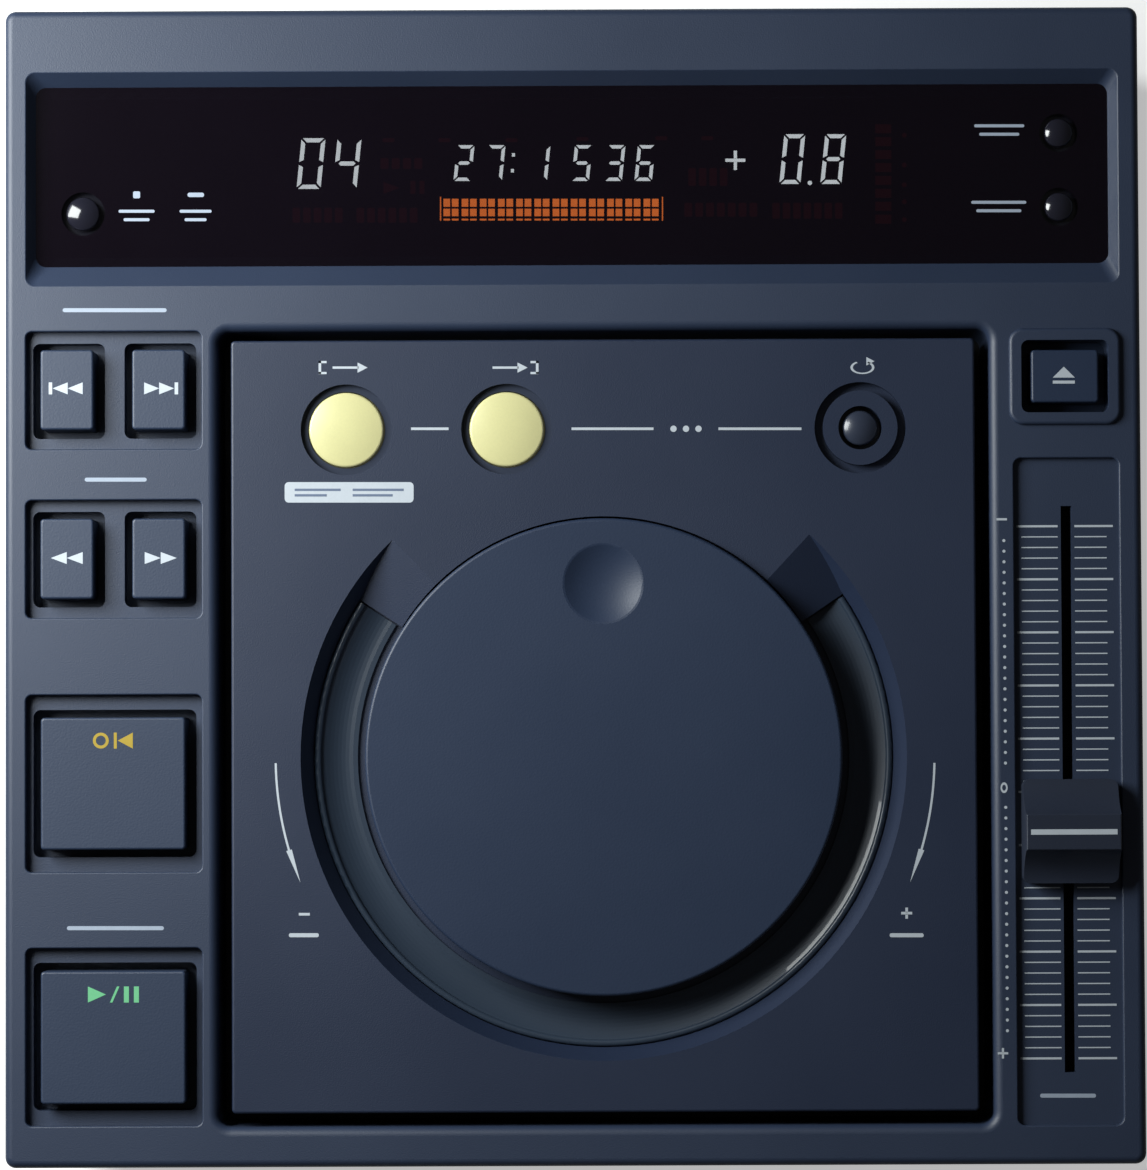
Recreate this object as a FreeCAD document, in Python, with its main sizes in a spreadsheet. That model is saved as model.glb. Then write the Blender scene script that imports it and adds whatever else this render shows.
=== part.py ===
# Table-top disc player with a lifting lid, a jog dial and a long tempo fader.
# Frame: origin at the middle of the footprint on the table, +X to the user's right,
# +Y to the back, +Z up. All lengths are millimetres.
import FreeCAD, Part
import Sketcher
import math
import os

Vector = FreeCAD.Vector
Rotation = FreeCAD.Rotation

# Driving sizes, each written once.
SIZES = {
    # case shell
    "margin_left": 4.0,
    "margin_right": 4.3,
    "margin_front": 7.6,
    "margin_back": 11.9,
    "deck_height": 86.0,
    "case_corner": 2.0,
    "case_edge": 1.5,
    "side_wall": 2.5,
    "deck_wall": 2.4,
    "rib_lap": 0.1,
    # general fits
    "slide_gap": 0.3,
    "bearing_gap": 0.05,
    # base
    "foot_height": 6.0,
    "foot_radius": 10.0,
    "foot_top_radius": 9.0,
    "foot_inset_x": 22.0,
    "foot_inset_y": 20.0,
    "foot_bore": 1.5,
    "foot_counterbore": 4.0,
    "foot_counterbore_depth": 3.5,
    "pan_sheet": 1.2,
    "pan_inset": 2.0,
    "pan_flange": 6.5,
    "vent_length": 26.0,
    "vent_width": 2.4,
    "vent_pitch": 7.0,
    "vent_count": 8,
    "vent_y": -80.0,
    "post_radius": 3.0,
    "post_inset": 5.0,
    "pilot_radius": 1.2,
    "pilot_depth": 12.0,
    "screw_head_radius": 2.6,
    "screw_head_height": 1.8,
    # display window
    "display_half_width": 104.0,
    "display_front": 57.2,
    "display_back": 98.1,
    "display_corner": 1.8,
    "window_half_width": 102.4,
    "window_front": 61.2,
    "window_back": 95.6,
    "window_corner": 2.0,
    "window_drop": 3.0,
    "window_sheet": 2.0,
    "window_ledge": 2.0,
    "window_frame_drop": 8.0,
    "frame_margin": 2.0,
    "board_sheet": 1.6,
    "key_board_drop": 16.0,
    "tube_left": -60.0,
    "tube_right": 70.0,
    "tube_height": 7.4,
    "tube_margin": 2.6,
    "display_boss_x": 94.0,
    "display_boss_margin": 2.7,
    "boss_radius": 2.4,
    # round keys in the window
    "time_key_x": -93.4,
    "time_key_y": 71.4,
    "time_key_radius": 3.2,
    "tempo_key_x": 93.0,
    "range_key_y": 86.2,
    "lock_key_y": 72.0,
    "tempo_key_radius": 2.7,
    "window_key_gap": 0.95,
    "window_key_rise": 1.1,
    # keys at the left of the deck
    "key_recess_depth": 2.3,
    "key_recess_corner": 1.2,
    "recess_edge": 0.3,
    "key_block_drop": 7.0,
    "key_block_wall": 2.0,
    "key_gap_x": 1.8,
    "key_gap_y": 1.5,
    "key_well_corner": 1.4,
    "key_corner": 0.7,
    "key_edge": 0.45,
    "key_rise": 1.4,
    "flange_lap": 0.8,
    "flange_sheet": 1.5,
    "key_column_x": -87.3,
    "key_recess_width": 33.4,
    "search_pitch": 17.4,
    "search_key_width": 10.1,
    "search_key_depth": 15.2,
    "search_recess_depth": 22.4,
    "track_row_y": 37.4,
    "search_row_y": 5.3,
    "cue_key_width": 27.4,
    "cue_key_depth": 25.0,
    "cue_recess_depth": 33.6,
    "cue_row_y": -37.3,
    "play_row_y": -85.25,
    # switches under the keys
    "switch_width": 6.0,
    "switch_height": 4.3,
    "switch_well": 3.4,
    "stem_radius": 1.6,
    "stem_gap": 0.2,
    "stem_reach": 1.9,
    # open key and its latch
    "open_x": 93.5,
    "open_y": 39.3,
    "open_key_width": 12.8,
    "open_key_depth": 10.0,
    "open_gap": 1.9,
    "open_rim_width": 2.3,
    "open_rim_height": 1.0,
    "open_rim_corner": 2.7,
    "open_rim_edge": 0.7,
    "open_rise": 0.8,
    "open_leg_width": 6.0,
    "open_leg_depth": 6.0,
    "open_leg_offset": 0.4,
    "open_leg_drop": 29.5,
    # disc bay and lid
    "lid_left": -65.0,
    "lid_right": 76.4,
    "lid_front": -99.8,
    "lid_back": 46.7,
    "lid_gap_left": 2.6,
    "lid_gap_right": 2.8,
    "lid_gap_front": 2.6,
    "lid_gap_back": 1.8,
    "lid_sheet": 2.2,
    "lid_skirt": 2.0,
    "lid_height": 14.0,
    "lid_corner": 0.8,
    "lid_edge": 0.5,
    "inner_cover_sheet": 1.6,
    "inner_cover_gap": 0.15,
    "bay_corner": 2.4,
    "bay_edge": 1.7,
    "bay_wall": 2.0,
    "bay_depth": 20.0,
    "well_sheet": 2.0,
    "well_margin": 1.5,
    "well_lug": 3.2,
    "bay_boss_left": -40.0,
    "bay_boss_right": 50.0,
    "bay_boss_radius": 2.5,
    # hinge
    "hinge_inset": 10.5,
    "hinge_drop": 5.5,
    "hinge_pin_radius": 1.5,
    "hinge_eye_radius": 2.9,
    "hinge_plate": 3.0,
    "hinge_side_gap": 0.6,
    "hinge_ear": 2.4,
    "hinge_ear_half": 2.8,
    "hinge_pin_seat": 1.2,
    "bracket_foot_length": 10.0,
    "bracket_foot_sheet": 1.5,
    "bracket_slot_gap": 0.6,
    # jog dial
    "jog_x": 5.6,
    "jog_y": -32.6,
    "jog_radius": 45.2,
    "jog_rise": 2.0,
    "jog_gap": 0.45,
    "jog_top_sheet": 2.0,
    "jog_skirt": 1.8,
    "jog_edge": 0.6,
    "jog_floor_gap": 0.5,
    "jog_shaft_radius": 3.0,
    "jog_boss_radius": 7.0,
    "jog_boss_drop": 1.1,
    "dimple_offset": 32.8,
    "dimple_radius": 7.5,
    "dimple_depth": 1.6,
    "dimple_backing": 9.5,
    "bearing_radius": 6.0,
    "bearing_tube": 2.0,
    "bearing_top_drop": 1.4,
    # moat round the dial
    "moat_radius": 57.5,
    "moat_foot_radius": 55.2,
    "moat_drop": 4.0,
    "moat_floor_drop": 6.4,
    "moat_floor_sheet": 1.4,
    "moat_wall": 1.9,
    "moat_start": 34.0,
    "moat_end": 147.0,
    "ramp_sweep": 13.0,
    "liner_gap": 0.15,
    "liner_inner_gap": 1.25,
    "liner_lip": 1.3,
    "liner_bead": 0.6,
    "liner_step": 0.85,
    "liner_rim_height": 2.7,
    "liner_foot_height": 0.7,
    "liner_foot_width": 0.9,
    "liner_sag": 0.55,
    # loop keys on the lid
    "loop_row_y": 29.7,
    "loop_in_x": -43.1,
    "loop_out_x": -12.6,
    "loop_hole_radius": 8.64,
    "loop_key_radius": 7.1,
    "loop_key_gap": 0.2,
    "loop_key_drop": 1.4,
    "loop_dome": 1.5,
    "dome_sag_share": 0.55,
    "dome_edge_share": 0.35,
    "collar_drop": 1.3,
    "collar_height": 2.5,
    "loop_flange_radius": 9.4,
    "loop_flange_sheet": 1.0,
    "reloop_x": 54.6,
    "reloop_groove_radius": 8.7,
    "reloop_ring_radius": 7.1,
    "reloop_groove_depth": 2.0,
    "reloop_block_radius": 10.0,
    "reloop_block_drop": 4.2,
    "reloop_hole_radius": 4.15,
    "reloop_key_radius": 3.3,
    "reloop_key_drop": 1.2,
    "reloop_flange_radius": 5.2,
    "lid_board_front": 20.5,
    "lid_board_back": 38.9,
    "lid_board_left": -54.0,
    "lid_board_right": 66.0,
    "lid_board_lift": 2.0,
    "lid_switch_height": 2.5,
    "lid_switch_well": 1.9,
    "lid_stem_reach": 0.7,
    "lid_boss_radius": 2.5,
    "lid_board_boss_a": -28.0,
    "lid_board_boss_b": 21.0,
    "lid_board_boss_c": 38.0,
    "lid_screw_left": -60.0,
    "lid_screw_right": 60.0,
    "lid_screw_front": 4.8,
    "lid_screw_back": 4.4,
    "lid_screw_rear_left": -30.0,
    "lid_screw_rear_right": 38.0,
    # encoder under the dial
    "encoder_radius": 20.0,
    "encoder_sheet": 0.8,
    "encoder_drop": 0.8,
    "sensor_width": 8.0,
    "sensor_reach": 17.0,
    "sensor_height": 1.5,
    "sensor_board": 1.0,
    "sensor_board_half": 9.0,
    # disc clamper
    "clamper_radius": 15.0,
    "clamper_plate_height": 2.0,
    "clamper_neck_radius": 9.0,
    "clamper_neck_gap": 0.6,
    "clamper_flange_radius": 12.0,
    "clamper_flange_sheet": 1.2,
    "clamper_recess_radius": 8.4,
    "clamper_recess_depth": 2.5,
    "clamper_steel_radius": 7.0,
    "clamper_steel_height": 3.0,
    "clamper_disc_gap": 0.3,
    # disc and turntable
    "disc_thickness": 1.2,
    "disc_radius": 60.0,
    "disc_side_gap": 1.3,
    "disc_below_well": 2.0,
    "disc_floor_gap": 1.6,
    "bowl_sheet": 1.6,
    "bowl_wall": 2.0,
    "hub_radius": 15.0,
    "hub_gap": 1.5,
    "hub_platform": 3.8,
    "hub_neck_radius": 5.0,
    "hub_neck_length": 3.7,
    "hub_cone_radius": 7.45,
    "hub_cone_top_radius": 6.6,
    "hub_cone_height": 2.3,
    "spindle_radius": 1.0,
    "spindle_length": 19.0,
    # mechanism under the disc
    "chassis_drop": 12.0,
    "chassis_sheet": 1.5,
    "chassis_left": -34.0,
    "chassis_right": 50.0,
    "chassis_front": -60.0,
    "chassis_back": 51.0,
    "damper_radius": 4.5,
    "damper_height": 6.0,
    "damper_inset": 6.5,
    "damper_bore_gap": 0.1,
    "damper_screw_radius": 1.3,
    "damper_screw_reach": 2.8,
    "spindle_motor_radius": 13.0,
    "spindle_motor_height": 12.5,
    "motor_nose_radius": 2.8,
    "motor_nose_height": 2.5,
    "motor_nose_gap": 0.3,
    "rod_radius": 1.5,
    "rod_spread": 22.0,
    "rod_height": 4.0,
    "rod_front": -27.0,
    "rod_back": 50.5,
    "rod_post_length": 3.5,
    "rod_post_half": 3.0,
    "sled_inner_radius": 24.0,
    "sled_travel": 34.0,
    "sled_ahead": 9.0,
    "sled_behind": 20.0,
    "sled_half_width": 25.0,
    "sled_lift": 1.2,
    "sled_height": 6.2,
    "turret_radius": 5.5,
    "turret_height": 1.8,
    "lens_radius": 3.0,
    "lens_height": 0.8,
    "slot_width": 24.0,
    "rack_module": 1.0,
    "rack_gap": 0.4,
    "rack_back": 2.4,
    "rack_height": 2.8,
    "rack_front_y": -42.0,
    "rack_back_y": 10.0,
    "tooth_backlash": 0.3,
    "pinion_teeth": 12,
    "pinion_y": 2.0,
    "pinion_height": 2.6,
    "sled_motor_radius": 8.0,
    "sled_motor_height": 14.0,
    "sled_motor_shaft": 1.0,
    # latch bar under the bay
    "latch_left": 74.0,
    "latch_right": 80.0,
    "latch_below_well": 2.0,
    "latch_sheet": 3.0,
    "latch_arm_back": 46.0,
    "latch_arm_length": 6.0,
    "latch_arm_reach": 97.0,
    "latch_arm_rise": 0.5,
    "latch_arm_left": 63.5,
    "latch_front": -100.5,
    "latch_arm_front_length": 14.0,
    "latch_window_front": -97.6,
    "latch_window_back": -89.5,
    "wedge_gap": 0.2,
    "hook_left": 66.0,
    "hook_right": 71.0,
    "hook_front": -93.4,
    "hook_thickness": 3.0,
    "hook_nose": 2.6,
    "hook_nose_height": 1.4,
    "hook_side_gap": 0.5,
    "strap_sheet": 1.2,
    "strap_width": 8.0,
    "strap_y_front": -60.0,
    "strap_y_back": 20.0,
    # fader
    "fader_x": 93.7,
    "fader_rest_y": -47.0,
    "fader_travel_back": 58.0,
    "fader_travel_front": 42.0,
    "fader_recess_width": 20.0,
    "fader_recess_front": -102.6,
    "fader_recess_back": 23.8,
    "fader_recess_corner": 1.5,
    "fader_recess_depth": 1.2,
    "fader_slot_width": 2.0,
    "fader_slot_end": 1.2,
    "fader_body_width": 11.0,
    "fader_body_height": 10.0,
    "fader_body_wall": 1.6,
    "fader_body_end": 5.0,
    "wiper_length": 12.0,
    "wiper_height": 4.0,
    "lever_thickness": 1.2,
    "lever_length": 5.0,
    "cap_width": 17.9,
    "cap_length": 19.6,
    "cap_height": 9.4,
    "cap_lift": 0.8,
    "cap_ridge": 6.7,
    "cap_scoop_radius": 8.7,
    "cap_scoop_above": 2.6,
    "cap_corner": 1.4,
    "cap_edge": 0.3,
    "cap_lever_grip": 5.0,
    # rear panel and its sockets
    "rear_opening_half_width": 90.0,
    "rear_opening_bottom": 16.0,
    "rear_opening_top": 62.0,
    "rear_sheet": 1.2,
    "rear_recess": 9.5,
    "rear_lip": 4.0,
    "jack_z": 40.0,
    "left_jack_x": -72.0,
    "right_jack_x": -56.0,
    "digital_jack_x": -34.0,
    "control_jack_x": -16.0,
    "jack_sleeve_radius": 4.15,
    "jack_sleeve_bore": 3.2,
    "jack_sleeve_length": 7.6,
    "jack_block_width": 12.0,
    "jack_block_depth": 10.0,
    "jack_pin_bore": 1.6,
    "mini_jack_radius": 3.2,
    "mini_jack_bore": 1.8,
    "mini_jack_length": 2.4,
    "inlet_x": 70.0,
    "inlet_z": 32.0,
    "inlet_width": 24.0,
    "inlet_height": 14.0,
    "inlet_depth": 17.0,
    "inlet_socket_width": 15.0,
    "inlet_socket_height": 7.6,
    "inlet_socket_depth": 13.0,
    "inlet_flange": 1.6,
    "inlet_pin_radius": 1.1,
    "inlet_pin_pitch": 8.0,
    "inlet_pin_length": 9.0,
    "switch_x": 38.0,
    "switch_z": 32.0,
    "rocker_radius": 7.0,
    "rocker_width": 9.0,
    "rocker_gap": 0.3,
    "rocker_angle": 18.0,
    "rocker_throw": 18.0,
    "switch_wall": 1.8,
    "switch_flange": 1.6,
    # electronics on the base
    "board_left": -60.0,
    "board_right": 60.0,
    "board_front": -95.0,
    "board_back": 30.0,
    "standoff_height": 5.0,
    "standoff_radius": 3.0,
    "standoff_inset": 6.0,
    "chip_height": 2.0,
    "capacitor_radius": 4.0,
    "capacitor_height": 12.0,
    "capacitor_pitch": 11.0,
    "capacitor_count": 4,
    "transformer_left": -80.0,
    "transformer_right": -32.0,
    "transformer_front": 34.0,
    "transformer_back": 78.0,
    "transformer_height": 36.0,
    "coil_margin": 7.0,
    "coil_bulge": 5.0,
}

doc = FreeCAD.newDocument("disc_player")
sheet = doc.addObject("Spreadsheet::Sheet", "Sizes")
for row, (alias, value) in enumerate(SIZES.items(), start=1):
    sheet.set(f"A{row}", alias)
    sheet.set(f"B{row}", str(value))
    sheet.setAlias(f"B{row}", alias)
doc.recompute()


class Size:
    """A length as a formula of the sheet's cells, with the value it has now."""

    def __init__(self, text, value):
        self.text = text
        self.value = float(value)

    @staticmethod
    def of(thing):
        if isinstance(thing, Size):
            return thing
        return Size(f"({thing})", thing)

    def _join(self, sign, other, value):
        return Size(f"({self.text} {sign} {other.text})", value)

    def __add__(self, other):
        other = Size.of(other)
        return self._join("+", other, self.value + other.value)

    def __radd__(self, other):
        return Size.of(other) + self

    def __sub__(self, other):
        other = Size.of(other)
        return self._join("-", other, self.value - other.value)

    def __rsub__(self, other):
        return Size.of(other) - self

    def __mul__(self, other):
        other = Size.of(other)
        return self._join("*", other, self.value * other.value)

    def __rmul__(self, other):
        return Size.of(other) * self

    def __truediv__(self, other):
        other = Size.of(other)
        return self._join("/", other, self.value / other.value)

    def __neg__(self):
        return Size.of(0) - self


class Cells:
    """Gives each cell of the sheet by its alias, as a Size."""

    def __getattr__(self, alias):
        if alias not in SIZES:
            raise AttributeError(alias)
        return Size(f"Sizes.{alias}", getattr(sheet, alias))


S = Cells()
ZERO = Size.of(0)
pieces = []
names_used = {}


def fresh(name):
    """A document name that isn't taken yet."""
    names_used[name] = names_used.get(name, 0) + 1
    return f"{name}_{names_used[name]}"


def around(middle, half):
    """The span from middle - half to middle + half."""
    return (middle - half, middle + half)


def bind(item, prop, size):
    item.setExpression(prop, Size.of(size).text)


def place(item, x, y, z, rotation=None):
    """Puts the item at x, y, z, bound to the sheet, with an optional fixed turn."""
    x, y, z = Size.of(x), Size.of(y), Size.of(z)
    item.Placement = FreeCAD.Placement(Vector(x.value, y.value, z.value), rotation or Rotation())
    bind(item, "Placement.Base.x", x)
    bind(item, "Placement.Base.y", y)
    bind(item, "Placement.Base.z", z)
    return item


def box(name, x, y, z):
    item = doc.addObject("Part::Box", fresh(name))
    bind(item, "Length", x[1] - x[0])
    bind(item, "Width", y[1] - y[0])
    bind(item, "Height", z[1] - z[0])
    return place(item, x[0], y[0], z[0])


TURNS = {
    "z": Rotation(),
    "y": Rotation(Vector(1, 0, 0), -90),
    "x": Rotation(Vector(0, 1, 0), 90),
}


def rod(name, x, y, z, radius, length, axis="z"):
    """A cylinder that starts at x, y, z and runs along +axis."""
    item = doc.addObject("Part::Cylinder", fresh(name))
    bind(item, "Radius", radius)
    bind(item, "Height", length)
    return place(item, x, y, z, TURNS[axis])


def upright(name, x, y, z, radius):
    """A cylinder along Z that spans z[0] to z[1]."""
    return rod(name, x, y, z[0], radius, z[1] - z[0])


def joined(name, items):
    if len(items) == 1:
        return items[0]
    item = doc.addObject("Part::MultiFuse", fresh(name))
    item.Shapes = items
    item.Refine = True
    return item


def cut(name, base, tools):
    item = doc.addObject("Part::Cut", fresh(name))
    item.Base = base
    item.Tool = joined(name + "_tools", tools)
    item.Refine = True
    return item


def common(name, first, second):
    item = doc.addObject("Part::Common", fresh(name))
    item.Base = first
    item.Tool = second
    return item


def group(name, items):
    """Separate solids that share one node."""
    item = doc.addObject("Part::Compound", fresh(name))
    item.Links = items
    return item


def ring(name, x, y, z, outer, inner):
    return cut(name, upright(name + "_outer", x, y, z, outer), [upright(name + "_bore", x, y, z, inner)])


def piece(item, label):
    """Names a finished sub-part."""
    item.Label = label
    pieces.append(item)
    return item


def rectangle_sketch(sketch, x, y, radius):
    """Draws a rectangle with round corners, each size bound to the sheet."""
    x0, x1, y0, y1 = x[0].value, x[1].value, y[0].value, y[1].value
    r = radius.value
    corners = [(x1 - r, y0 + r, -90), (x1 - r, y1 - r, 0), (x0 + r, y1 - r, 90), (x0 + r, y0 + r, 180)]
    points = [(x0 + r, y0), (x1 - r, y0), (x1, y0 + r), (x1, y1 - r),
              (x1 - r, y1), (x0 + r, y1), (x0, y1 - r), (x0, y0 + r)]
    for side in range(4):
        start = Vector(*points[2 * side], 0)
        end = Vector(*points[2 * side + 1], 0)
        sketch.addGeometry(Part.LineSegment(start, end), False)
    for cx, cy, angle in corners:
        circle = Part.Circle(Vector(cx, cy, 0), Vector(0, 0, 1), r)
        sketch.addGeometry(Part.ArcOfCircle(circle, math.radians(angle), math.radians(angle + 90)), False)
    for side in range(4):
        arc = 4 + side
        sketch.addConstraint(Sketcher.Constraint("Tangent", side, 2, arc, 1))
        sketch.addConstraint(Sketcher.Constraint("Tangent", arc, 2, (side + 1) % 4, 1))
    for side in (0, 2):
        sketch.addConstraint(Sketcher.Constraint("Horizontal", side))
        sketch.addConstraint(Sketcher.Constraint("Vertical", side + 1))
    for arc in (5, 6, 7):
        sketch.addConstraint(Sketcher.Constraint("Equal", 4, arc))
    driving = [
        ("Radius", (4, r), radius),
        ("DistanceX", (-1, 1, 3, 1, x0), x[0]),
        ("DistanceX", (-1, 1, 1, 1, x1), x[1]),
        ("DistanceY", (-1, 1, 0, 1, y0), y[0]),
        ("DistanceY", (-1, 1, 2, 1, y1), y[1]),
    ]
    for kind, where, size in driving:
        index = sketch.addConstraint(Sketcher.Constraint(kind, *where))
        bind(sketch, f"Constraints[{index}]", size)


def plate(name, x, y, z, radius):
    """A block with round upright corners: an extruded sketch."""
    sketch = doc.addObject("Sketcher::SketchObject", fresh(name + "_outline"))
    rectangle_sketch(sketch, x, y, radius)
    item = doc.addObject("Part::Extrusion", fresh(name))
    item.Base = sketch
    item.DirMode = "Normal"
    item.Solid = True
    bind(item, "LengthFwd", z[1] - z[0])
    return place(item, 0, 0, z[0])


def tapered_pocket(name, low, high):
    """A loft between two round-cornered outlines, each (x, y, z, radius)."""
    sections = []
    for x, y, z, radius in (low, high):
        sketch = doc.addObject("Sketcher::SketchObject", fresh(name + "_outline"))
        rectangle_sketch(sketch, x, y, radius)
        place(sketch, 0, 0, z)
        sections.append(sketch)
    item = doc.addObject("Part::Loft", fresh(name))
    item.Sections = sections
    item.Solid = True
    item.Ruled = True
    return item


def body_plane(body, role):
    return next(item for item in body.Origin.OriginFeatures if item.Role == role)


def new_body(name):
    return doc.addObject("PartDesign::Body", fresh(name + "_body"))


def body_sketch(body, name, role, offset=None):
    sketch = body.newObject("Sketcher::SketchObject", fresh(name + "_sketch"))
    sketch.AttachmentSupport = [(body_plane(body, role), "")]
    sketch.MapMode = "FlatFace"
    if offset is not None:
        sketch.AttachmentOffset = FreeCAD.Placement(Vector(0, 0, offset.value), Rotation())
        bind(sketch, "AttachmentOffset.Base.z", offset)
    return sketch


def pad(body, name, sketch, length):
    item = body.newObject("PartDesign::Pad", fresh(name + "_pad"))
    item.Profile = sketch
    bind(item, "Length", length)
    sketch.Visibility = False
    return item


def polygon_sketch(sketch, points):
    """A closed outline whose every corner is bound to the sheet."""
    count = len(points)
    for index in range(count):
        start, end = points[index], points[(index + 1) % count]
        first = Vector(Size.of(start[0]).value, Size.of(start[1]).value, 0)
        second = Vector(Size.of(end[0]).value, Size.of(end[1]).value, 0)
        sketch.addGeometry(Part.LineSegment(first, second), False)
    for index in range(count):
        sketch.addConstraint(Sketcher.Constraint("Coincident", index, 2, (index + 1) % count, 1))
    for index, (across, up) in enumerate(points):
        for kind, size, axis in (("DistanceX", across, -2), ("DistanceY", up, -1)):
            size = Size.of(size)
            if size is ZERO or size.text == "(0)":
                sketch.addConstraint(Sketcher.Constraint("PointOnObject", index, 1, axis))
                continue
            number = sketch.addConstraint(Sketcher.Constraint(kind, -1, 1, index, 1, size.value))
            bind(sketch, f"Constraints[{number}]", size)


def turned(name, points, x=ZERO, y=ZERO, sweep=None, start=None):
    """A body turned about its own Z axis from (radius, height) corners."""
    body = new_body(name)
    sketch = body_sketch(body, name, "XZ_Plane")
    polygon_sketch(sketch, points)
    item = body.newObject("PartDesign::Revolution", fresh(name + "_turn"))
    item.Profile = sketch
    item.ReferenceAxis = (sketch, ["V_Axis"])
    item.Angle = 360.0
    if sweep is not None:
        bind(item, "Angle", sweep)
    sketch.Visibility = False
    turn = Rotation(Vector(0, 0, 1), start.value) if start is not None else None
    place(body, x, y, 0, turn)
    return body


def edges_where(shape, test):
    return [index for index, edge in enumerate(shape.Edges, start=1) if test(edge)]


def round_body(body, name, radius, test):
    """Adds a fillet to the body on the edges that pass the test."""
    doc.recompute()
    base = body.Tip
    chosen = edges_where(base.Shape, test)
    item = body.newObject("PartDesign::Fillet", fresh(name + "_fillet"))
    item.Base = (base, [f"Edge{index}" for index in chosen])
    bind(item, "Radius", radius)
    return item


def rounded(name, base, radius, test):
    """A fillet of one radius on the edges of base that pass the test."""
    doc.recompute()
    chosen = edges_where(base.Shape, test)
    item = doc.addObject("Part::Fillet", fresh(name))
    item.Base = base
    item.Edges = [(index, radius.value, radius.value) for index in chosen]
    return item


def at_height(z, x=None, y=None):
    """True for edges that lie level at height z, inside optional x and y spans."""
    slack = 0.02

    def test(edge):
        bounds = edge.BoundBox
        if abs(bounds.ZMin - z.value) > slack or abs(bounds.ZMax - z.value) > slack:
            return False
        if x and (bounds.XMin < x[0].value - slack or bounds.XMax > x[1].value + slack):
            return False
        if y and (bounds.YMin < y[0].value - slack or bounds.YMax > y[1].value + slack):
            return False
        return True

    return test


def grown(span, margin):
    return (span[0] - margin, span[1] + margin)


def middle(span):
    return (span[0] + span[1]) / 2


# Levels and spans that several pieces share.
deck = S.deck_height
under_deck = deck - S.deck_wall
pan_bottom = S.foot_height
pan_top = S.foot_height + S.pan_sheet
case_x = (S.key_column_x - S.key_recess_width / 2 - S.margin_left,
          S.fader_x + S.fader_recess_width / 2 + S.margin_right)
case_y = (S.lid_front - S.lid_gap_front - S.margin_front, S.display_back + S.margin_back)
inner_x = grown(case_x, -S.side_wall)
inner_y = grown(case_y, -S.side_wall)
block_top = under_deck + S.rib_lap

lid_x = (S.lid_left, S.lid_right)
lid_y = (S.lid_front, S.lid_back)
lid_bottom = deck - S.lid_height
bay_x = (S.lid_left - S.lid_gap_left, S.lid_right + S.lid_gap_right)
bay_y = (S.lid_front - S.lid_gap_front, S.lid_back + S.lid_gap_back)
bay_bottom = deck - S.bay_depth
well_bottom = bay_bottom - S.well_sheet
board_top = deck - S.key_board_drop
board_bottom = board_top - S.board_sheet

window_x = around(ZERO, S.window_half_width)
window_y = (S.window_front, S.window_back)
window_face = deck - S.window_drop
window_back_face = window_face - S.window_sheet
frame_bottom = deck - S.window_frame_drop

key_floor = deck - S.key_recess_depth
key_block_bottom = deck - S.key_block_drop
search_left_x = S.key_column_x - S.search_pitch / 2
search_right_x = S.key_column_x + S.search_pitch / 2

# Name, middle of the key, key size and the depth of the recess that holds it.
DECK_KEYS = [
    ("track_back_button", search_left_x, S.track_row_y, S.search_key_width, S.search_key_depth),
    ("track_next_button", search_right_x, S.track_row_y, S.search_key_width, S.search_key_depth),
    ("search_back_button", search_left_x, S.search_row_y, S.search_key_width, S.search_key_depth),
    ("search_next_button", search_right_x, S.search_row_y, S.search_key_width, S.search_key_depth),
    ("cue_button", S.key_column_x, S.cue_row_y, S.cue_key_width, S.cue_key_depth),
    ("play_button", S.key_column_x, S.play_row_y, S.cue_key_width, S.cue_key_depth),
]
KEY_RECESSES = [
    (S.track_row_y, S.search_recess_depth),
    (S.search_row_y, S.search_recess_depth),
    (S.cue_row_y, S.cue_recess_depth),
    (S.play_row_y, S.cue_recess_depth),
]
WINDOW_KEYS = [
    ("time_button", S.time_key_x, S.time_key_y, S.time_key_radius),
    ("tempo_range_button", S.tempo_key_x, S.range_key_y, S.tempo_key_radius),
    ("key_lock_button", S.tempo_key_x, S.lock_key_y, S.tempo_key_radius),
]
open_well_x = around(S.open_x, S.open_key_width / 2 + S.open_gap)
open_well_y = around(S.open_y, S.open_key_depth / 2 + S.open_gap)
open_rim_x = grown(open_well_x, S.open_rim_width)
open_rim_y = grown(open_well_y, S.open_rim_width)

fader_recess_x = around(S.fader_x, S.fader_recess_width / 2)
fader_recess_y = (S.fader_recess_front, S.fader_recess_back)
fader_floor = deck - S.fader_recess_depth
lever_y = (S.fader_rest_y - S.fader_travel_front - S.lever_length / 2,
           S.fader_rest_y + S.fader_travel_back + S.lever_length / 2)
fader_slot_y = grown(lever_y, S.fader_slot_end)

posts = [(x, y)
         for x in (case_x[0] + S.post_inset, case_x[1] - S.post_inset)
         for y in (case_y[0] + S.post_inset, case_y[1] - S.post_inset)]
key_board_bosses = [(S.key_column_x + side * S.key_recess_width * 0.36, y)
                    for side in (-1, 1)
                    for y in ((S.track_row_y + S.search_row_y) / 2, (S.cue_row_y + S.play_row_y) / 2)]
display_bosses = [(side * S.display_boss_x, y)
                  for side in (-1, 1)
                  for y in (S.window_front + S.window_ledge - S.display_boss_margin,
                            S.window_back - S.window_ledge + S.display_boss_margin)]
bay_bosses = [(x, y)
              for x in (S.bay_boss_left, S.bay_boss_right)
              for y in (bay_y[0] - S.bay_boss_radius, bay_y[1] + S.bay_wall + S.bay_boss_radius / 2)]

rear_opening_x = around(ZERO, S.rear_opening_half_width)
rear_opening_z = (S.rear_opening_bottom, S.rear_opening_top)
rear_face = inner_y[1] - S.rear_recess + S.rear_sheet
rear_back = inner_y[1] - S.rear_recess


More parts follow.
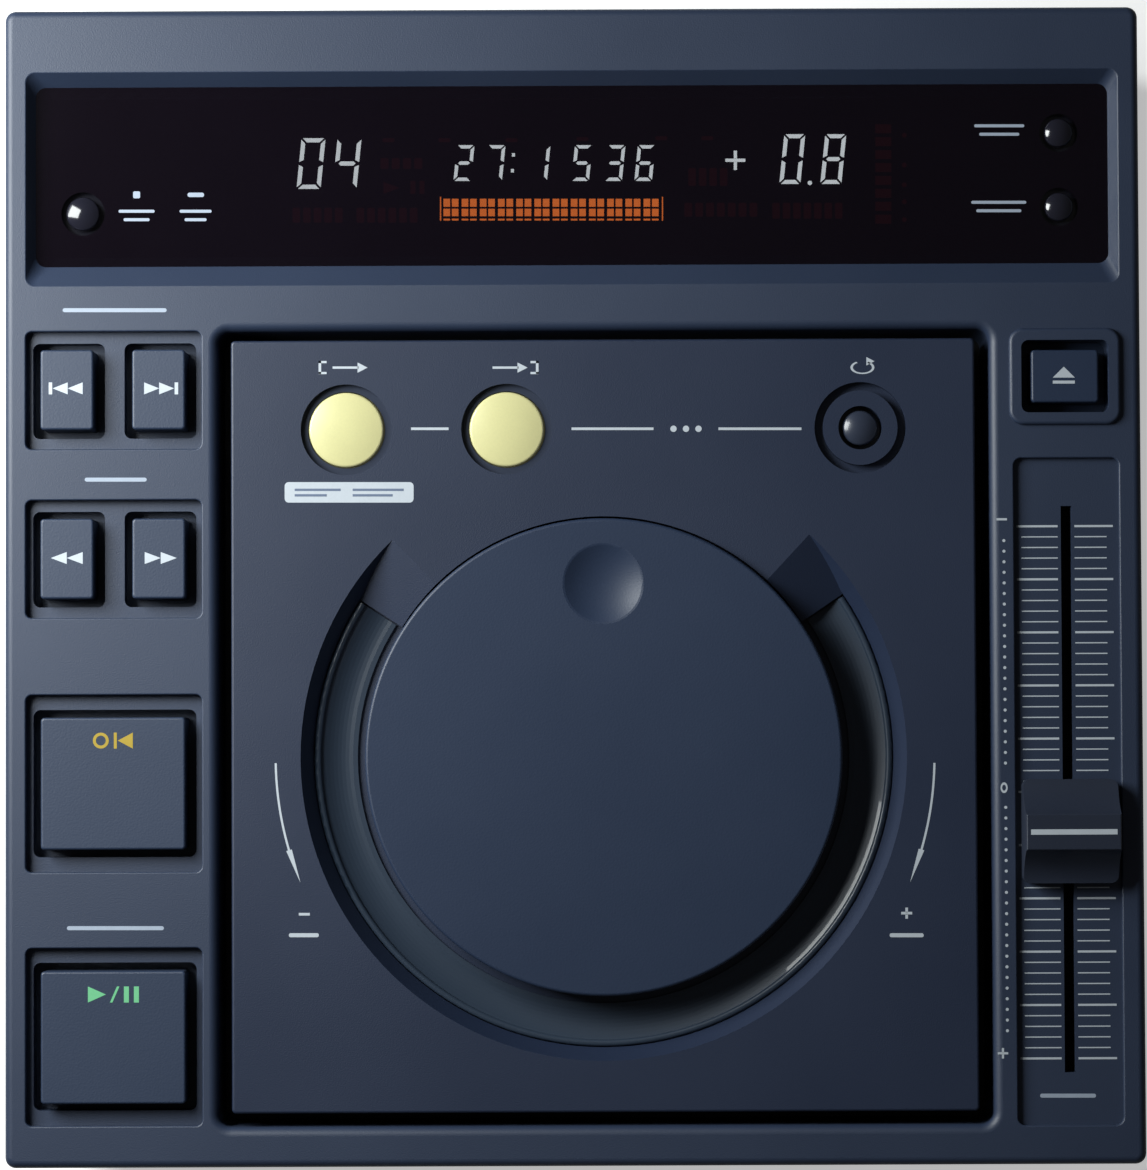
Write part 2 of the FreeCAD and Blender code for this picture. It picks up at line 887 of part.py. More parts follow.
def build_top_cover():
    """The moulded shell: deck, side walls, key wells, bay walls and screw posts."""
    shell = new_body("case_shell")
    outline = body_sketch(shell, "case_shell", "XY_Plane", pan_top)
    rectangle_sketch(outline, case_x, case_y, S.case_corner)
    pad(shell, "case_shell", outline, deck - pan_top)
    round_body(shell, "case_shell", S.case_edge, at_height(deck))

    adds = [cut("hollow_shell", shell, [box("inside", inner_x, inner_y, (pan_bottom, under_deck))])]
    adds.append(box("display_frame", grown(around(ZERO, S.display_half_width), S.rib_lap * 5),
                    (S.display_front - S.frame_margin, S.display_back + S.frame_margin),
                    (frame_bottom, block_top)))
    for row_y, depth in KEY_RECESSES:
        span_x = around(S.key_column_x, S.key_recess_width / 2 + S.key_block_wall)
        span_y = around(row_y, depth / 2 + S.key_block_wall)
        adds.append(box("key_block", span_x, span_y, (key_block_bottom, block_top)))
    adds.append(box("open_block", open_rim_x, open_rim_y, (key_block_bottom, block_top)))
    rim = plate("open_rim", open_rim_x, open_rim_y, (under_deck, deck + S.open_rim_height), S.open_rim_corner)
    adds.append(rounded("open_rim_edge", rim, S.open_rim_edge, at_height(deck + S.open_rim_height)))
    adds.append(box("bay_walls", grown(bay_x, S.bay_wall), grown(bay_y, S.bay_wall), (bay_bottom, block_top)))
    for x, y in posts:
        adds.append(upright("case_post", x, y, (pan_top, block_top), S.post_radius))
    for x, y in key_board_bosses:
        adds.append(upright("key_board_boss", x, y, (board_top, block_top), S.boss_radius))
    for x, y in display_bosses:
        adds.append(upright("display_boss", x, y, (board_top, block_top), S.boss_radius))
    for x, y in bay_bosses:
        adds.append(upright("bay_boss", x, y, (bay_bottom, block_top), S.bay_boss_radius))
    whole = joined("cover_solid", adds)

    over = deck + S.open_rim_height + S.rib_lap
    cuts = [tapered_pocket("display_slope",
                           (window_x, window_y, window_face, S.window_corner),
                           (around(ZERO, S.display_half_width), (S.display_front, S.display_back),
                            deck, S.display_corner))]
    cuts.append(plate("window_seat", window_x, window_y, (window_back_face, window_face), S.window_corner))
    cuts.append(box("window_opening", grown(window_x, -S.window_ledge), grown(window_y, -S.window_ledge),
                    (frame_bottom, window_back_face)))
    for row_y, depth in KEY_RECESSES:
        cuts.append(plate("key_recess", around(S.key_column_x, S.key_recess_width / 2),
                          around(row_y, depth / 2), (key_floor, deck), S.key_recess_corner))
    for name, x, y, width, depth in DECK_KEYS:
        cuts.append(plate("key_well", around(x, width / 2 + S.key_gap_x), around(y, depth / 2 + S.key_gap_y),
                          (key_block_bottom, deck), S.key_well_corner))
    cuts.append(plate("open_well", open_well_x, open_well_y, (key_block_bottom, over), S.key_well_corner))
    cuts.append(plate("bay_opening", bay_x, bay_y, (bay_bottom, deck), S.bay_corner))
    cuts.append(plate("fader_recess", fader_recess_x, fader_recess_y, (fader_floor, deck),
                      S.fader_recess_corner))
    cuts.append(box("fader_slot", around(S.fader_x, S.fader_slot_width / 2), fader_slot_y,
                    (under_deck - S.rib_lap, deck)))
    cuts.append(box("rear_opening", rear_opening_x, (inner_y[1] - S.rib_lap, case_y[1] + S.rib_lap),
                    rear_opening_z))
    for x, y in posts:
        cuts.append(upright("post_pilot", x, y, (pan_top, pan_top + S.pilot_depth), S.pilot_radius))
    for x, y in key_board_bosses + display_bosses:
        cuts.append(upright("board_pilot", x, y, (board_top, board_top + S.boss_radius * 2), S.pilot_radius))
    for x, y in bay_bosses:
        cuts.append(upright("bay_pilot", x, y, (bay_bottom, bay_bottom + S.boss_radius * 2), S.pilot_radius))
    cover = cut("cover_cut", whole, cuts)
    bay_top = at_height(deck, grown(bay_x, S.rib_lap), grown(bay_y, S.rib_lap))
    cover = rounded("cover_bay_edge", cover, S.bay_edge, bay_top)
    recesses = [(around(S.key_column_x, S.key_recess_width / 2), around(row_y, depth / 2))
                for row_y, depth in KEY_RECESSES]
    recesses.append((fader_recess_x, fader_recess_y))
    recesses.append((around(ZERO, S.display_half_width), (S.display_front, S.display_back)))
    tests = [at_height(deck, grown(x, S.rib_lap), grown(y, S.rib_lap)) for x, y in recesses]
    piece(rounded("cover", cover, S.recess_edge, lambda edge: any(test(edge) for test in tests)), "top_cover")


def build_base():
    """The sheet-steel pan, its standoffs and vents, the rubber feet and the screws."""
    pan_x = grown(case_x, -S.pan_inset)
    pan_y = grown(case_y, -S.pan_inset)
    flange_x = grown(inner_x, -S.slide_gap)
    flange_y = grown(inner_y, -S.slide_gap)
    flange_top = pan_top + S.pan_flange
    tray = cut("pan_flange",
               box("pan_flange_block", flange_x, flange_y, (pan_top - S.rib_lap, flange_top)),
               [box("pan_inside", grown(flange_x, -S.pan_sheet), grown(flange_y, -S.pan_sheet),
                    (pan_top - S.rib_lap, flange_top))])
    corners = [box("flange_notch", around(x, S.post_radius + S.slide_gap * 2),
                   around(y, S.post_radius + S.slide_gap * 2), (pan_top, flange_top)) for x, y in posts]
    adds = [box("pan_floor", pan_x, pan_y, (pan_bottom, pan_top)), cut("pan_flange_notched", tray, corners)]
    standoffs = [(x, y)
                 for x in (S.board_left + S.standoff_inset, S.board_right - S.standoff_inset)
                 for y in (S.board_front + S.standoff_inset, S.board_back - S.standoff_inset)]
    standoff_top = pan_top + S.standoff_height
    for x, y in standoffs:
        adds.append(upright("standoff", x, y, (pan_top - S.rib_lap, standoff_top), S.standoff_radius))
    feet = [(x, y)
            for x in (case_x[0] + S.foot_inset_x, case_x[1] - S.foot_inset_x)
            for y in (case_y[0] + S.foot_inset_y, case_y[1] - S.foot_inset_y)]
    cuts = [upright("foot_hole", x, y, (pan_bottom, pan_top), S.foot_bore) for x, y in feet]
    cuts += [upright("post_hole", x, y, (pan_bottom, pan_top), S.foot_bore) for x, y in posts]
    cuts += [upright("standoff_hole", x, y, (pan_bottom, standoff_top), S.pilot_radius) for x, y in standoffs]
    count = int(S.vent_count.value)
    for side in (-1, 1):
        for index in range(count):
            middle_x = S.vent_pitch * (index - (count - 1) / 2)
            cuts.append(box("vent", around(middle_x, S.vent_width / 2),
                            around(-side * S.vent_y, S.vent_length / 2), (pan_bottom, pan_top)))
    piece(cut("pan", joined("pan_solid", adds), cuts), "bottom_pan")

    rubber = []
    for x, y in feet:
        profile = [(S.foot_counterbore, ZERO), (S.foot_radius, ZERO), (S.foot_top_radius, S.foot_height),
                   (S.foot_bore, S.foot_height), (S.foot_bore, S.foot_counterbore_depth),
                   (S.foot_counterbore, S.foot_counterbore_depth)]
        rubber.append(turned("foot", profile, x, y))
    piece(group("feet", rubber), "rubber_feet")

    screws = []
    for x, y in feet:
        head_top = S.foot_counterbore_depth
        screws.append(screw("foot_screw", x, y, head_top - S.screw_head_height, head_top,
                            pan_top + S.pilot_radius, S.foot_bore))
    for x, y in posts:
        screws.append(screw("case_screw", x, y, pan_bottom - S.screw_head_height, pan_bottom,
                            pan_top + S.pilot_depth * 0.75, S.pilot_radius))
    for x, y in standoffs:
        top = standoff_top + S.board_sheet
        screws.append(screw("board_screw", x, y, top + S.screw_head_height, top,
                            standoff_top - S.standoff_height * 0.8, S.pilot_radius))
    for x, y in key_board_bosses + display_bosses:
        screws.append(screw("key_board_screw", x, y, board_bottom - S.screw_head_height, board_bottom,
                            board_top + S.boss_radius * 1.5, S.pilot_radius))
    for x, y in bay_bosses:
        screws.append(screw("well_screw", x, y, well_bottom - S.screw_head_height, well_bottom,
                            bay_bottom + S.boss_radius * 1.5, S.pilot_radius))
    for x, y, roof in damper_posts():
        head_top = chassis_top - S.chassis_sheet
        screws.append(screw("damper_screw", x, y, head_top - S.screw_head_height, head_top,
                            chassis_top + S.damper_height + S.damper_screw_reach, S.damper_screw_radius))
    piece(group("screws", screws), "case_screws")


def screw(name, x, y, head_end, seat, tip, radius):
    """A pan-head screw: head from head_end to seat, shank from seat to tip."""
    up = seat.value > head_end.value
    low, high = (head_end, seat) if up else (seat, head_end)
    shank = (seat - S.rib_lap, tip) if up else (tip, seat + S.rib_lap)
    head = upright(name + "_head", x, y, (low, high), S.screw_head_radius)
    drive = S.screw_head_radius * 0.75
    depth = S.screw_head_height / 3
    floor = (low, low + depth) if up else (high - depth, high)
    slots = [box(name + "_drive", around(x, drive), around(y, drive / 4), floor),
             box(name + "_drive", around(x, drive / 4), around(y, drive), floor)]
    return joined(name, [cut(name + "_head_cut", head, slots), upright(name + "_shank", x, y, shank, radius)])


def switch_block(name, x, y, base, height, well):
    """A tact switch: a block with a blind hole that the key's stem enters."""
    body = box(name, around(x, S.switch_width / 2), around(y, S.switch_width / 2), (base, base + height))
    hole = upright(name + "_hole", x, y, (base + height - well, base + height), S.stem_radius + S.stem_gap)
    return cut(name + "_cut", body, [hole])


def build_display():
    """The tinted window, its round keys, the display tube and the boards with their switches."""
    pane = plate("pane", window_x, window_y, (window_back_face, window_face), S.window_corner)
    holes = [upright("pane_hole", x, y, (window_back_face, window_face), radius + S.window_key_gap)
             for name, x, y, radius in WINDOW_KEYS]
    piece(cut("pane_cut", pane, holes), "display_window")

    tube_y = grown(grown(window_y, -S.window_ledge), -S.tube_margin)
    tube = box("tube", (S.tube_left, S.tube_right), tube_y, (board_top, board_top + S.tube_height))
    piece(tube, "display_tube")

    board = box("display_board", grown(window_x, -S.window_ledge * 1.5),
                (S.display_front, S.display_back + S.frame_margin), (board_bottom, board_top))
    holes = [upright("board_hole", x, y, (board_bottom, board_top), S.pilot_radius)
             for x, y in display_bosses]
    piece(cut("display_board_cut", board, holes), "display_board")

    board = box("key_board",
                (inner_x[0] + S.slide_gap * 2, bay_x[0] - S.bay_wall - S.well_margin - S.slide_gap),
                (S.play_row_y - S.cue_recess_depth / 2 + S.key_block_wall,
                 S.track_row_y + S.search_recess_depth / 2), (board_bottom, board_top))
    holes = [upright("board_hole", x, y, (board_bottom, board_top), S.pilot_radius)
             for x, y in key_board_bosses]
    piece(cut("key_board_cut", board, holes), "key_board")

    places = [(x, y) for name, x, y, width, depth in DECK_KEYS]
    places += [(x, y) for name, x, y, radius in WINDOW_KEYS]
    blocks = [switch_block("key_switch", x, y, board_top, S.switch_height, S.switch_well) for x, y in places]
    piece(group("switches", blocks), "key_switches")


def deck_key(name, x, y, width, depth):
    """A rectangular key: cap, holding flange and stem, padded in one body."""
    top = deck + S.key_rise
    flange_top = key_block_bottom - S.slide_gap
    flange_bottom = flange_top - S.flange_sheet
    stem_bottom = board_top + S.switch_height - S.stem_reach
    body = new_body(name)
    cap = body_sketch(body, name, "XY_Plane", flange_top - S.rib_lap)
    rectangle_sketch(cap, around(ZERO, width / 2), around(ZERO, depth / 2), S.key_corner)
    pad(body, name, cap, top - flange_top + S.rib_lap)
    round_body(body, name, S.key_edge, at_height(top))
    flange = body_sketch(body, name, "XY_Plane", flange_bottom)
    rectangle_sketch(flange, around(ZERO, width / 2 + S.key_gap_x + S.flange_lap),
                     around(ZERO, depth / 2 + S.key_gap_y + S.flange_lap), S.key_well_corner)
    pad(body, name, flange, S.flange_sheet)
    stem = body_sketch(body, name, "XY_Plane", stem_bottom)
    circle_sketch(stem, S.stem_radius)
    pad(body, name, stem, flange_bottom - stem_bottom + S.rib_lap)
    place(body, x, y, 0)
    piece(body, name)


def circle_sketch(sketch, radius):
    sketch.addGeometry(Part.Circle(Vector(0, 0, 0), Vector(0, 0, 1), radius.value), False)
    sketch.addConstraint(Sketcher.Constraint("Coincident", 0, 3, -1, 1))
    index = sketch.addConstraint(Sketcher.Constraint("Radius", 0, radius.value))
    bind(sketch, f"Constraints[{index}]", radius)


def round_key(name, x, y, radius, top, dome, flange_radius, flange_top, flange_sheet, stem_bottom):
    """A round key: turned stem, flange and wall under a cap with a ball's curve and a soft edge."""
    rim = top - dome
    profile = [(ZERO, stem_bottom), (S.stem_radius, stem_bottom), (S.stem_radius, flange_top - flange_sheet),
               (flange_radius, flange_top - flange_sheet), (flange_radius, flange_top),
               (radius, flange_top), (radius, rim), (ZERO, rim)]
    sag = dome * S.dome_sag_share
    ball_radius = (radius * radius + sag * sag) / (sag * 2)
    ball = doc.addObject("Part::Sphere", fresh(name + "_ball"))
    bind(ball, "Radius", ball_radius)
    place(ball, x, y, top - ball_radius)
    cap = common(name + "_cap", upright(name + "_cap_block", x, y, (rim - S.rib_lap, top), radius), ball)
    whole = joined(name + "_solid", [turned(name, profile, x, y), cap])
    piece(rounded(name + "_edge", whole, dome * S.dome_edge_share, at_height(top - sag)), name)


def build_keys():
    for name, x, y, width, depth in DECK_KEYS:
        deck_key(name, x, y, width, depth)
    for name, x, y, radius in WINDOW_KEYS:
        round_key(name, x, y, radius, window_face + S.window_key_rise, radius * 0.6,
                  radius + S.window_key_gap + S.flange_lap, window_back_face - S.slide_gap,
                  S.flange_sheet, board_top + S.switch_height - S.stem_reach)


def build_open_key():
    """The open key, whose leg ends in a wedge that pushes the latch bar back."""
    top = deck + S.open_rise
    flange_top = key_block_bottom - S.slide_gap
    flange_bottom = flange_top - S.flange_sheet
    cap = plate("open_cap", around(S.open_x, S.open_key_width / 2), around(S.open_y, S.open_key_depth / 2),
                (flange_top - S.rib_lap, top), S.key_corner)
    cap = rounded("open_cap_edge", cap, S.key_edge, at_height(top))
    flange = box("open_flange", grown(open_well_x, S.flange_lap), grown(open_well_y, S.flange_lap),
                 (flange_bottom, flange_top))
    leg_y = around(S.open_y - S.open_leg_offset, S.open_leg_depth / 2)
    leg = box("open_leg", around(S.open_x, S.open_leg_width / 2), leg_y,
              (deck - S.open_leg_drop, flange_bottom + S.rib_lap))
    whole = joined("open_key_solid", [cap, flange, leg])
    keep = wedge_tool("leg_wedge", S.open_x, S.open_leg_width, wedge_start_y - S.wedge_gap * math.sqrt(2),
                      latch_arm_bottom, below=True)
    piece(cut("open_key_cut", whole, [keep]), "open_button")


latch_top = well_bottom - S.latch_below_well
latch_bottom = latch_top - S.latch_sheet
latch_arm_bottom = latch_bottom
latch_arm_top = latch_top + S.latch_arm_rise
latch_arm_y = (S.latch_arm_back - S.latch_arm_length, S.latch_arm_back)
wedge_start_y = latch_arm_y[0]


def wedge_tool(name, x, width, start_y, start_z, below):
    """A prism with one face at 45 degrees through (start_y, start_z), rising to the back.

    It lies below and behind that face, or above and before it.
    """
    reach = 30.0
    rise = 30.0
    y0, z0 = start_y.value, start_z.value
    if below:
        corners = [(y0 - reach, z0 - reach), (y0 + rise, z0 + rise), (y0 + rise, z0 - reach)]
    else:
        corners = [(y0 - reach, z0 - reach), (y0 - reach, z0 + rise), (y0 + rise, z0 + rise)]
    half = width.value
    points = [Vector(x.value - half, across, up) for across, up in corners]
    face = Part.Face(Part.makePolygon(points + points[:1]))
    item = doc.addObject("Part::Feature", fresh(name))
    item.Shape = face.extrude(Vector(2 * half, 0, 0))
    return item


def build_latch():
    """The latch bar: a long bar, a front arm with the hook's window and a back arm with the wedge."""
    bar = box("latch_bar", (S.latch_left, S.latch_right), (S.latch_front, latch_arm_y[1]),
              (latch_bottom, latch_top))
    front = box("latch_front_arm", (S.latch_arm_left, S.latch_right),
                (S.latch_front, S.latch_front + S.latch_arm_front_length), (latch_bottom, latch_top))
    back = box("latch_back_arm", (S.latch_left, S.latch_arm_reach), latch_arm_y,
               (latch_bottom, latch_arm_top))
    slope = wedge_tool("arm_wedge", S.open_x, S.latch_arm_reach - S.latch_left, wedge_start_y,
                       latch_arm_bottom, below=False)
    window = box("hook_window", (S.hook_left - S.hook_side_gap, S.hook_right + S.hook_side_gap),
                 (S.latch_window_front, S.latch_window_back), (latch_bottom, latch_top))
    arm_zone = box("arm_zone", (S.latch_right, S.latch_arm_reach), latch_arm_y, (latch_bottom, latch_arm_top))
    slope_zone = common("arm_slope", slope, arm_zone)
    piece(cut("latch_cut", joined("latch_solid", [bar, front, back]), [window, slope_zone]), "latch_slider")


hinge_y = S.lid_back - S.hinge_inset
hinge_z = deck - S.hinge_drop
bracket_left = (S.lid_left + S.lid_skirt + S.hinge_side_gap,
                S.lid_left + S.lid_skirt + S.hinge_side_gap + S.hinge_plate)
bracket_right = (S.lid_right - S.lid_skirt - S.hinge_side_gap - S.hinge_plate,
                 S.lid_right - S.lid_skirt - S.hinge_side_gap)
disc_level = bay_bottom - S.disc_below_well
bowl_floor = disc_level - S.disc_floor_gap
bowl_bottom = bowl_floor - S.bowl_sheet
bowl_radius = S.disc_radius + S.disc_side_gap
chassis_top = well_bottom - S.chassis_drop
sled_bottom = chassis_top + S.sled_lift
sled_top = sled_bottom + S.sled_height
lens_y = S.jog_y + S.sled_inner_radius


def damper_posts():
    """Places of the four dampers, each with the underside that its post hangs from."""
    xs = (S.chassis_left + S.damper_inset, S.chassis_right - S.damper_inset)
    front = S.chassis_front + S.damper_inset
    back = S.chassis_back - S.damper_inset
    return [(x, front, bowl_bottom) for x in xs] + [(x, back, well_bottom) for x in xs]


def build_disc_well():
    """The tray under the lid: a flat plate with a round bowl, a hub hole and a pickup slot."""
    plate_x = grown(bay_x, S.bay_wall + S.well_margin)
    plate_y = (bay_y[0] - S.bay_wall - S.well_margin - S.well_margin / 2, bay_y[1] + S.bay_wall + S.well_lug)
    adds = [box("well_plate", plate_x, plate_y, (well_bottom, bay_bottom)),
            upright("bowl_outer", S.jog_x, S.jog_y, (bowl_bottom, bay_bottom), bowl_radius + S.bowl_wall)]
    post_bottom = chassis_top + S.damper_height
    for x, y, roof in damper_posts():
        adds.append(upright("damper_post", x, y, (post_bottom, roof + S.rib_lap), S.damper_radius))
    for y in (S.strap_y_front, S.strap_y_back):
        outer = box("strap_outer", (S.latch_left - S.slide_gap - S.strap_sheet,
                                    S.latch_right + S.slide_gap + S.strap_sheet),
                    around(y, S.strap_width / 2), (latch_bottom - S.slide_gap - S.strap_sheet,
                                                   well_bottom + S.rib_lap))
        inner = box("strap_inner", (S.latch_left - S.slide_gap, S.latch_right + S.slide_gap),
                    around(y, S.strap_width), (latch_bottom - S.slide_gap, well_bottom))
        adds.append(cut("latch_strap", outer, [inner]))
    slot_back = lens_y + S.sled_travel + S.turret_radius + S.bowl_wall
    cuts = [upright("bowl_inner", S.jog_x, S.jog_y, (bowl_floor, bay_bottom), bowl_radius),
            upright("hub_hole", S.jog_x, S.jog_y, (bowl_bottom, bowl_floor), S.hub_radius + S.hub_gap),
            box("pickup_slot", around(S.jog_x, S.slot_width / 2), (S.jog_y, slot_back),
                (bowl_bottom, bowl_floor + S.rib_lap)),
            box("hook_slot", (S.hook_left - S.hook_side_gap, S.hook_right + S.hook_side_gap),
                (S.latch_window_front, S.hook_front + S.hook_thickness + S.hook_nose + S.open_gap),
                (well_bottom, bay_bottom))]
    for x, y in bay_bosses:
        cuts.append(upright("well_hole", x, y, (well_bottom, bay_bottom), S.pilot_radius))
    for x, y, roof in damper_posts():
        cuts.append(upright("damper_pilot", x, y,
                            (post_bottom, post_bottom + S.damper_screw_reach), S.damper_screw_radius))
    piece(cut("well_cut", joined("well_solid", adds), cuts), "disc_well")


def build_hinge():
    """Two steel brackets that stand on the tray, and the pins that the lid turns on."""
    brackets = []
    pins = []
    for span, side in ((bracket_left, 1), (bracket_right, -1)):
        eye = rod("hinge_eye", span[0], hinge_y, hinge_z, S.hinge_eye_radius, S.hinge_plate, "x")
        upright_plate = box("bracket_plate", span, around(hinge_y, S.hinge_eye_radius), (bay_bottom, hinge_z))
        foot = box("bracket_foot", span, around(hinge_y, S.bracket_foot_length / 2),
                   (bay_bottom, bay_bottom + S.bracket_foot_sheet))
        bore = rod("hinge_bore", span[0] - S.rib_lap, hinge_y, hinge_z, S.hinge_pin_radius + S.bearing_gap,
                   S.hinge_plate + S.rib_lap * 2, "x")
        brackets.append(cut("bracket", joined("bracket_solid", [eye, upright_plate, foot]), [bore]))
        length = S.hinge_pin_seat + S.hinge_side_gap * 2 + S.hinge_plate + S.hinge_ear
        start = S.lid_left + S.lid_skirt - S.hinge_pin_seat
        if side < 0:
            start = S.lid_right - S.lid_skirt + S.hinge_pin_seat - length
        pins.append(rod("hinge_pin", start, hinge_y, hinge_z, S.hinge_pin_radius, length, "x"))
    piece(group("brackets", brackets), "hinge_brackets")
    piece(group("pins", pins), "hinge_pins")


moat_rim = deck - S.moat_drop
moat_floor = deck - S.moat_floor_drop
moat_under = moat_floor - S.moat_floor_sheet
jog_pit_radius = S.jog_radius + S.jog_gap
lid_under = deck - S.lid_sheet
inner_cover_top = lid_bottom + S.inner_cover_sheet
lid_board_bottom = inner_cover_top + S.lid_board_lift
lid_board_top = lid_board_bottom + S.board_sheet
bearing_top = deck - S.bearing_top_drop
collar_top = deck - S.collar_drop
collar_bottom = collar_top - S.collar_height
moat_sweep = 360 - (S.moat_end - S.moat_start)
lid_screws = [(S.lid_screw_left, S.lid_front + S.lid_screw_front),
              (S.lid_screw_right, S.lid_front + S.lid_screw_front),
              (S.lid_screw_rear_left, S.lid_back - S.lid_screw_back),
              (S.lid_screw_rear_right, S.lid_back - S.lid_screw_back)]
lid_board_bosses = [(S.lid_board_boss_a, S.loop_row_y), (S.lid_board_boss_b, S.loop_row_y),
                    (S.lid_board_boss_c, S.loop_row_y)]


def sector(name, profile, start, sweep):
    """A part turn about the jog axis of (radius, height) corners, from angle start in degrees."""
    return turned(name, profile, S.jog_x, S.jog_y, sweep, start)


def ramp(name, level_angle, side):
    """The slope that leads from the lid's face down to the moat, cut as a sector under a tilted plane."""
    start = level_angle if side < 0 else level_angle - S.ramp_sweep
    first = start if side > 0 else level_angle
    inside = jog_pit_radius - S.jog_skirt
    foot = moat_rim - S.moat_drop
    profile = [(inside, foot), (S.moat_foot_radius, foot), (S.moat_foot_radius, moat_rim),
               (S.moat_radius, deck), (inside, deck)]
    wedge = sector(name, profile, first, S.ramp_sweep)
    mid_radius = (jog_pit_radius.value + S.moat_radius.value) / 2
    fall = math.atan2(S.moat_drop.value, mid_radius * math.sin(math.radians(S.ramp_sweep.value)))
    size = S.moat_radius.value * 2
    slab = Part.makeBox(size * 2, size, size)
    slab.translate(Vector(-size, 0, 0))
    slab.rotate(Vector(0, 0, 0), Vector(1, 0, 0), -math.degrees(fall))
    turn = level_angle.value + (180.0 if side > 0 else 0.0)
    slab.rotate(Vector(0, 0, 0), Vector(0, 0, 1), turn)
    slab.translate(Vector(S.jog_x.value, S.jog_y.value, deck.value))
    keep = doc.addObject("Part::Feature", fresh(name + "_plane"))
    keep.Shape = slab
    return common(name, wedge, keep)


def build_lid_panel():
    """The lid: face, skirt, moat with two ramps, bearing tube, hinge ears and screw bosses."""
    face = new_body("lid_block")
    outline = body_sketch(face, "lid_block", "XY_Plane", lid_bottom)
    rectangle_sketch(outline, lid_x, lid_y, S.lid_corner)
    pad(face, "lid_block", outline, S.lid_height)
    round_body(face, "lid_block", S.lid_edge, at_height(deck))
    shell = cut("lid_shell", face, [box("lid_inside", grown(lid_x, -S.lid_skirt), grown(lid_y, -S.lid_skirt),
                                        (lid_bottom, lid_under))])
    top = lid_under + S.rib_lap
    adds = [shell,
            upright("jog_cup", S.jog_x, S.jog_y, (moat_under, top), jog_pit_radius + S.moat_wall)]
    ramp_margin = S.ramp_sweep + 1
    cup_radius = S.moat_radius + S.moat_wall
    adds.append(sector("moat_cup", [(S.jog_boss_radius, moat_under), (cup_radius, moat_under),
                                    (cup_radius, top), (S.jog_boss_radius, top)],
                       S.moat_end - ramp_margin, moat_sweep + ramp_margin * 2))
    for x, y in lid_screws:
        adds.append(upright("lid_boss", x, y, (inner_cover_top, top), S.lid_boss_radius))
    for x, y in lid_board_bosses:
        adds.append(upright("lid_board_boss", x, y, (lid_board_top, top), S.lid_boss_radius))
    adds.append(upright("reloop_block", S.reloop_x, S.loop_row_y,
                        (deck - S.reloop_block_drop, top), S.reloop_block_radius))
    for span in ((bracket_left[1] + S.hinge_side_gap, bracket_left[1] + S.hinge_side_gap + S.hinge_ear),
                 (bracket_right[0] - S.hinge_side_gap - S.hinge_ear, bracket_right[0] - S.hinge_side_gap)):
        adds.append(box("hinge_ear", span, around(hinge_y, S.hinge_ear_half),
                        (hinge_z - S.hinge_ear_half, top)))
    whole = joined("lid_solid", adds)

    cuts = [upright("jog_pit", S.jog_x, S.jog_y, (moat_floor, deck), jog_pit_radius)]
    cuts.append(sector("moat", [(jog_pit_radius - S.jog_skirt, moat_floor), (S.moat_foot_radius, moat_floor),
                                (S.moat_foot_radius, moat_rim), (S.moat_radius, deck),
                                (jog_pit_radius - S.jog_skirt, deck)], S.moat_end, moat_sweep))
    cuts.append(ramp("left_ramp", S.moat_end - S.ramp_sweep, -1))
    cuts.append(ramp("right_ramp", S.moat_start + S.ramp_sweep, 1))
    for x in (S.loop_in_x, S.loop_out_x):
        cuts.append(upright("loop_hole", x, S.loop_row_y, (lid_under - S.rib_lap, deck), S.loop_hole_radius))
    cuts.append(ring("reloop_groove", S.reloop_x, S.loop_row_y, (deck - S.reloop_groove_depth, deck),
                     S.reloop_groove_radius, S.reloop_ring_radius))
    cuts.append(upright("reloop_hole", S.reloop_x, S.loop_row_y, (deck - S.reloop_block_drop, deck),
                        S.reloop_hole_radius))
    for x, y in lid_screws:
        cuts.append(upright("lid_pilot", x, y, (inner_cover_top, inner_cover_top + S.boss_radius * 2),
                            S.pilot_radius))
    for x, y in lid_board_bosses:
        cuts.append(upright("lid_board_pilot", x, y, (lid_board_top, lid_board_top + S.boss_radius),
                            S.pilot_radius))
    for span in (bracket_left, bracket_right):
        cuts.append(box("bracket_slot", grown(span, S.bracket_slot_gap), (hinge_y, S.lid_back),
                        (lid_bottom, lid_under)))
    pin_reach = S.hinge_pin_seat + S.hinge_side_gap * 2 + S.hinge_plate + S.hinge_ear
    cuts.append(rod("pin_seat", S.lid_left + S.lid_skirt - S.hinge_pin_seat, hinge_y, hinge_z,
                    S.hinge_pin_radius, pin_reach, "x"))
    cuts.append(rod("pin_seat", S.lid_right - S.lid_skirt + S.hinge_pin_seat - pin_reach, hinge_y, hinge_z,
                    S.hinge_pin_radius, pin_reach, "x"))
    hollow = cut("lid_cut", whole, cuts)
    tube = upright("bearing_tube", S.jog_x, S.jog_y, (moat_under, bearing_top - S.slide_gap),
                   S.bearing_radius + S.bearing_tube)
    bore = upright("bearing_seat", S.jog_x, S.jog_y, (moat_under, bearing_top), S.bearing_radius)
    piece(cut("lid", joined("lid_with_tube", [hollow, tube]), [bore]), "lid_panel")


